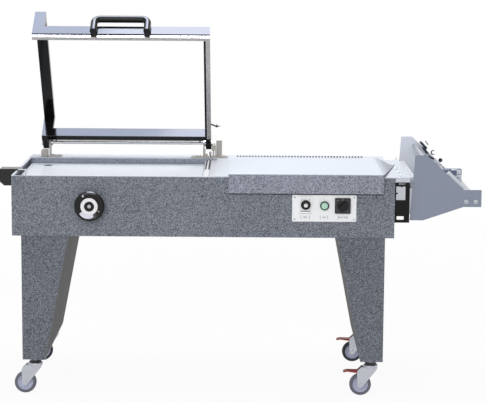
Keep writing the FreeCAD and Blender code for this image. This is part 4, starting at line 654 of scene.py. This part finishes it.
def hingeDetails():
    # A thin return bar over the hinge shaft: a circle carried along a straight path.
    y, z = returnBar["y"], returnBar["z"]
    path = fromCabinet(along((returnBar["from"], y, z), (returnBar["to"], y, z), 12))
    makePiece("returnBar", carriedRings(circle(returnBar["radius"] / 1000), path),
              warmSteel, "base")
    nut = np.array(returnBar["nut"] + returnBar["nut"][:1]) / 1000
    for name, x in returnBar["nuts"]:
        makePiece(name, turnedRings(nut, fromCabinet((x, y, z)), (1, 0, 0), 6),
                  darkSteel, "base", 10)
    # The cable terminal on the arm: a black sleeve, and a forked plate at its end.
    sleeve = onArm([(x, terminal["y"], z) for x, z in terminal["sleeve"]])
    makePiece("terminalSleeve", carriedRings(circle(terminal["sleeveRadius"] / 1000), sleeve),
              blackPanel, "arm")
    x, z = terminal["fork"]
    makePiece("terminalFork", plateRings(np.array(terminal["prongs"]) / 1000, terminal["thick"] / 1000,
                                         terminal["edge"] / 1000, onArm((x, terminal["y"], z)),
                                         terminal["right"], terminal["up"]),
              darkSteel, "arm")


hingeDetails()
print("hinge: return bar and terminal")

holderGrey = sheetMetal("edgeBlockPaint", (122, 130, 152), 0.42, 0.0, (30, 1, 30), 0.10)
hook = {"x": 1484, "y": 548, "z": 789, "radius": 7.4, "from": 60, "turn": 250, "thin": 1.1, "swell": 1.3}
washer = {"place": (1511, 548, 760),
          "profile": [(3.0, 0), (7.2, 0), (7.6, 0.6), (7.6, 2.6), (7.2, 3.2), (3.0, 3.2)]}
edgeStrip = {"place": (1508, 18, 757), "long": 78, "tall": 13, "thick": 14, "edge": 1.5, "slope": -45}
tongue = {"place": (1584, 572, 714), "back": -8, "round": (8, 10), "middle": 2, "rim": 1.7,
          "rimThick": 3, "thick": 4, "proud": 1.5, "edge": 0.8}
cradleEdge = {
    "depth": 556, "edge": 0.8,
    "blocks": (
        # name, middle x and z, length, height, slope in degrees, depth along the machine
        ("filmClampUpper", 1447.5, 815.0, 33, 9, -46, 34, "darkSteel"),
        ("filmClampLower", 1454.5, 796.0, 27, 9, -54, 30, "darkSteel"),
        ("clampScrew", 1459.5, 824.0, 20, 5, -54, 5, "zinc"),
        ("edgeBolt", 1477.0, 769.0, 22, 6.5, -24, 20, "darkSteel"),
        ("edgeStub", 1515.0, 732.0, 11, 7, -50, 14, "darkSteel"),
        ("edgeWedge", 1528.0, 722.0, 12, 9, -30, 14, "darkSteel"),
        ("edgeBlock", 1555.0, 715.0, 18, 25, 0, 24, "holder"),
    ),
}


def cradleDetails():
    # Each block is a bar with cut corners, turned to the slope of the cradle's edge.
    finishes = {"darkSteel": darkSteel, "zinc": zinc, "holder": holderGrey}
    for name, x, z, length, height, slope, depth, kind in cradleEdge["blocks"]:
        ends = 1.6 if min(length, height) > 6 else 1.0
        half, tall = length / 2, height / 2
        outline = [(-half + ends, -tall), (half - ends, -tall), (half, -tall + ends), (half, tall - ends),
                   (half - ends, tall), (-half + ends, tall), (-half, tall - ends), (-half, -tall + ends)]
        makePiece(name, plateRings(np.array(outline) / 1000, depth / 1000, cradleEdge["edge"] / 1000,
                                   fromCabinet((x, cradleEdge["depth"] - depth / 2, z)),
                                   *sloped(slope)), finishes[kind], "base")
    # The open hook: a circle carried round an arc, its radius swelling by the sine of the way.
    share = np.linspace(0, 1, 29)
    angle = np.radians(hook["from"] + hook["turn"] * share)
    arc = fromCabinet(np.stack([hook["x"] + hook["radius"] * np.cos(angle), np.full(29, hook["y"]),
                                hook["z"] + hook["radius"] * np.sin(angle)], -1))
    rings = carriedRings(circle(1.0, 12), arc) - arc[:, None]
    thick = (hook["thin"] + hook["swell"] * np.sin(math.pi * share))[:, None, None] / 1000
    makePiece("filmHook", arc[:, None] + rings * thick, darkSteel, "base")
    profile = np.array(washer["profile"] + washer["profile"][:1]) / 1000
    makePiece("edgeWasher", turnedRings(profile, fromCabinet(washer["place"]), (0, 1, 0), 28),
              darkSteel, "base")
    # A pale strip behind the front plate's slanted edge.
    outline = np.array(box2(edgeStrip["long"], edgeStrip["tall"])) / 1000
    makePiece("edgeStrip", plateRings(outline, edgeStrip["thick"] / 1000, edgeStrip["edge"] / 1000,
                                      fromCabinet(edgeStrip["place"]), *sloped(edgeStrip["slope"])),
              paleSteel, "base")
    # The rounded end plate inside its dark rim: a straight back and half an ellipse.
    turn = np.radians(np.linspace(-90, 90, 13))
    wide, tall = tongue["round"]
    outline = np.array([(tongue["back"], tall), (tongue["back"], -tall)]
                       + [(tongue["middle"] + wide * math.cos(a), tall * math.sin(a)) for a in turn])
    middle, edge = fromCabinet(tongue["place"]), tongue["edge"] / 1000
    makePiece("tongueRim", plateRings(outline / 1000, tongue["rimThick"] / 1000, edge, middle),
              darkSteel, "base")
    front = middle - np.array([0, tongue["proud"] / 1000, 0])
    makePiece("tonguePlate", plateRings(inset(outline, tongue["rim"]) / 1000, tongue["thick"] / 1000,
                                        edge, front),
              paleSteel, "base")


cradleDetails()


brassTie = plated("brassTie", (196, 182, 150), 0.3)
support = {
    "ties": (("supportTieUpper", (1308, 4, 731), (1325, 4, 707), 1.3, inkPaint),
             ("supportTieLower", (1304, 4, 692), (1334, 4, 652), 1.1, brassTie)),
    "dots": (("supportDotUpper", (1322, -1, 738.6)), ("supportDotLower", (1306.5, -1, 714.5))),
    "dot": [(0, 0), (2.6, 0), (3.2, -0.4), (3.2, -0.9), (2.4, -1.4), (0, -1.6)],
}


def supportDetails():
    # Slanted tie bars inside the black support: circles carried along straight paths.
    for name, start, end, radius, finish in support["ties"]:
        path = fromCabinet(along(start, end, 8))
        makePiece(name, carriedRings(circle(radius / 1000), path), finish, "base")
    # Screw heads beside them, each a small turned profile.
    dot = np.array(support["dot"]) / 1000
    for name, place in support["dots"]:
        makePiece(name, turnedRings(dot, fromCabinet(place), (0, 1, 0), 20),
                  inkPaint, "base")


supportDetails()
print("cradle: clamps, hook, strip and ties")

studio = {"wall": 0.46, "floor": 0.92, "floorShare": 0.94, "fadeFrom": 1.3, "fadeTo": 4.5,
          "barTint": (0.68, 0.76, 1.0)}
lamps = (
    # name, place, aimed at, size, power, lights surfaces or only shows in gloss
    ("topSoftbox", (-0.2, 0.2, 3.2), (0, 0, 0.7), (1.8, 1.2), 46, True),
    ("frontSoftbox", (-1.0, -4.0, 2.6), (0, 0, 0.6), (3.0, 2.0), 60, True),
    ("barSoftbox", (-0.52, 0.50, 2.8), (-0.45, 0.10, 1.1), (1.1, 0.95), 52, False),
)
viewpoint = {"right": 0.0384, "front": 5.8331, "height": 1.5642, "yaw": -0.2289, "pitch": 8.5329,
             "roll": 0.3798, "lens": 130.04}


def backdropWorld():
    # White for the camera and for reflections, plain grey light for everything else.
    world = bpy.data.worlds.new("studioWorld")
    bpy.context.scene.world = world
    world.use_nodes = True
    sky = Nodes(world.node_tree)
    shade = sky.tree.nodes["Background"]
    shade.inputs["Color"].default_value = (1, 1, 1, 1)
    sky.feed(shade.inputs["Strength"], sky.seenDirectly() * (1 - studio["wall"]) + studio["wall"])


def studioFloor():
    # A plain pale floor: part white of its own, part lit, so that a soft shadow stays on it.
    # Its own share grows to all of it with the distance from the machine.
    size = 30.0
    mesh = bpy.data.meshes.new("studioFloor")
    mesh.from_pydata([(-size, -size, 0), (size, -size, 0), (size, size, 0), (-size, size, 0)],
                     [], [(0, 1, 2, 3)])
    floor = bpy.data.objects.new("studioFloor", mesh)
    bpy.context.scene.collection.objects.link(floor)
    floor.location.z = cadLow.z - 0.0005
    lit = Finish("floorPaint", Base_Color=(studio["floor"],) * 3 + (1,), Roughness=0.9,
                 Specular_IOR_Level=0.0)
    own = lit.node("ShaderNodeEmission", sockets={"Strength": 1.0})
    fade = lit.radius((0, 0, 0), "XY").above((studio["fadeFrom"] + studio["fadeTo"]) / 2,
                                             studio["fadeTo"] - studio["fadeFrom"])
    share = lit.seenDirectly() * (studio["floorShare"] + fade * (1 - studio["floorShare"]))
    mixed = lit.node("ShaderNodeMixShader", sockets={
        0: share, 1: Value(lit, lit.shader.outputs[0]), 2: own})
    lit.feed(lit.tree.nodes["Material Output"].inputs["Surface"], mixed)
    mesh.materials.append(lit.material)


def studioLamps():
    for name, place, target, size, power, lights in lamps:
        lamp = bpy.data.lights.new(name, "AREA")
        lamp.shape = "RECTANGLE"
        lamp.size, lamp.size_y = size
        lamp.energy = power
        lamp.color = (1, 1, 1) if lights else studio["barTint"]
        holder = bpy.data.objects.new(name, lamp)
        bpy.context.scene.collection.objects.link(holder)
        holder.location = place
        holder.rotation_euler = (Vector(target) - Vector(place)).to_track_quat("-Z", "Y").to_euler()
        holder.visible_diffuse = lights
        holder.visible_camera = False


def studioCamera():
    # Built from the view direction: forward from yaw and pitch, then rolled about it.
    yaw, pitch, roll = (math.radians(viewpoint[key]) for key in ("yaw", "pitch", "roll"))
    forward = Vector((math.sin(yaw) * math.cos(pitch), math.cos(yaw) * math.cos(pitch), -math.sin(pitch)))
    level = Vector((math.cos(yaw), -math.sin(yaw), 0))
    upright = level.cross(forward)
    right = level * math.cos(roll) + upright * math.sin(roll)
    up = upright * math.cos(roll) - level * math.sin(roll)
    camera = bpy.data.cameras.new("studioCamera")
    camera.sensor_width = 36
    camera.lens = viewpoint["lens"]
    camera.clip_end = 100
    holder = bpy.data.objects.new("studioCamera", camera)
    bpy.context.scene.collection.objects.link(holder)
    turned = Matrix((right, up, -forward)).transposed().to_4x4()
    middle = (cadLow.x + cadHigh.x) / 2
    holder.matrix_world = Matrix.Translation(
        (middle + viewpoint["right"], cadLow.y - viewpoint["front"], cadLow.z + viewpoint["height"])) @ turned
    bpy.context.scene.camera = holder


backdropWorld()
studioFloor()
studioLamps()
studioCamera()
bpy.context.scene.view_settings.view_transform = "Standard"
print("studio: camera, floor and lights placed")
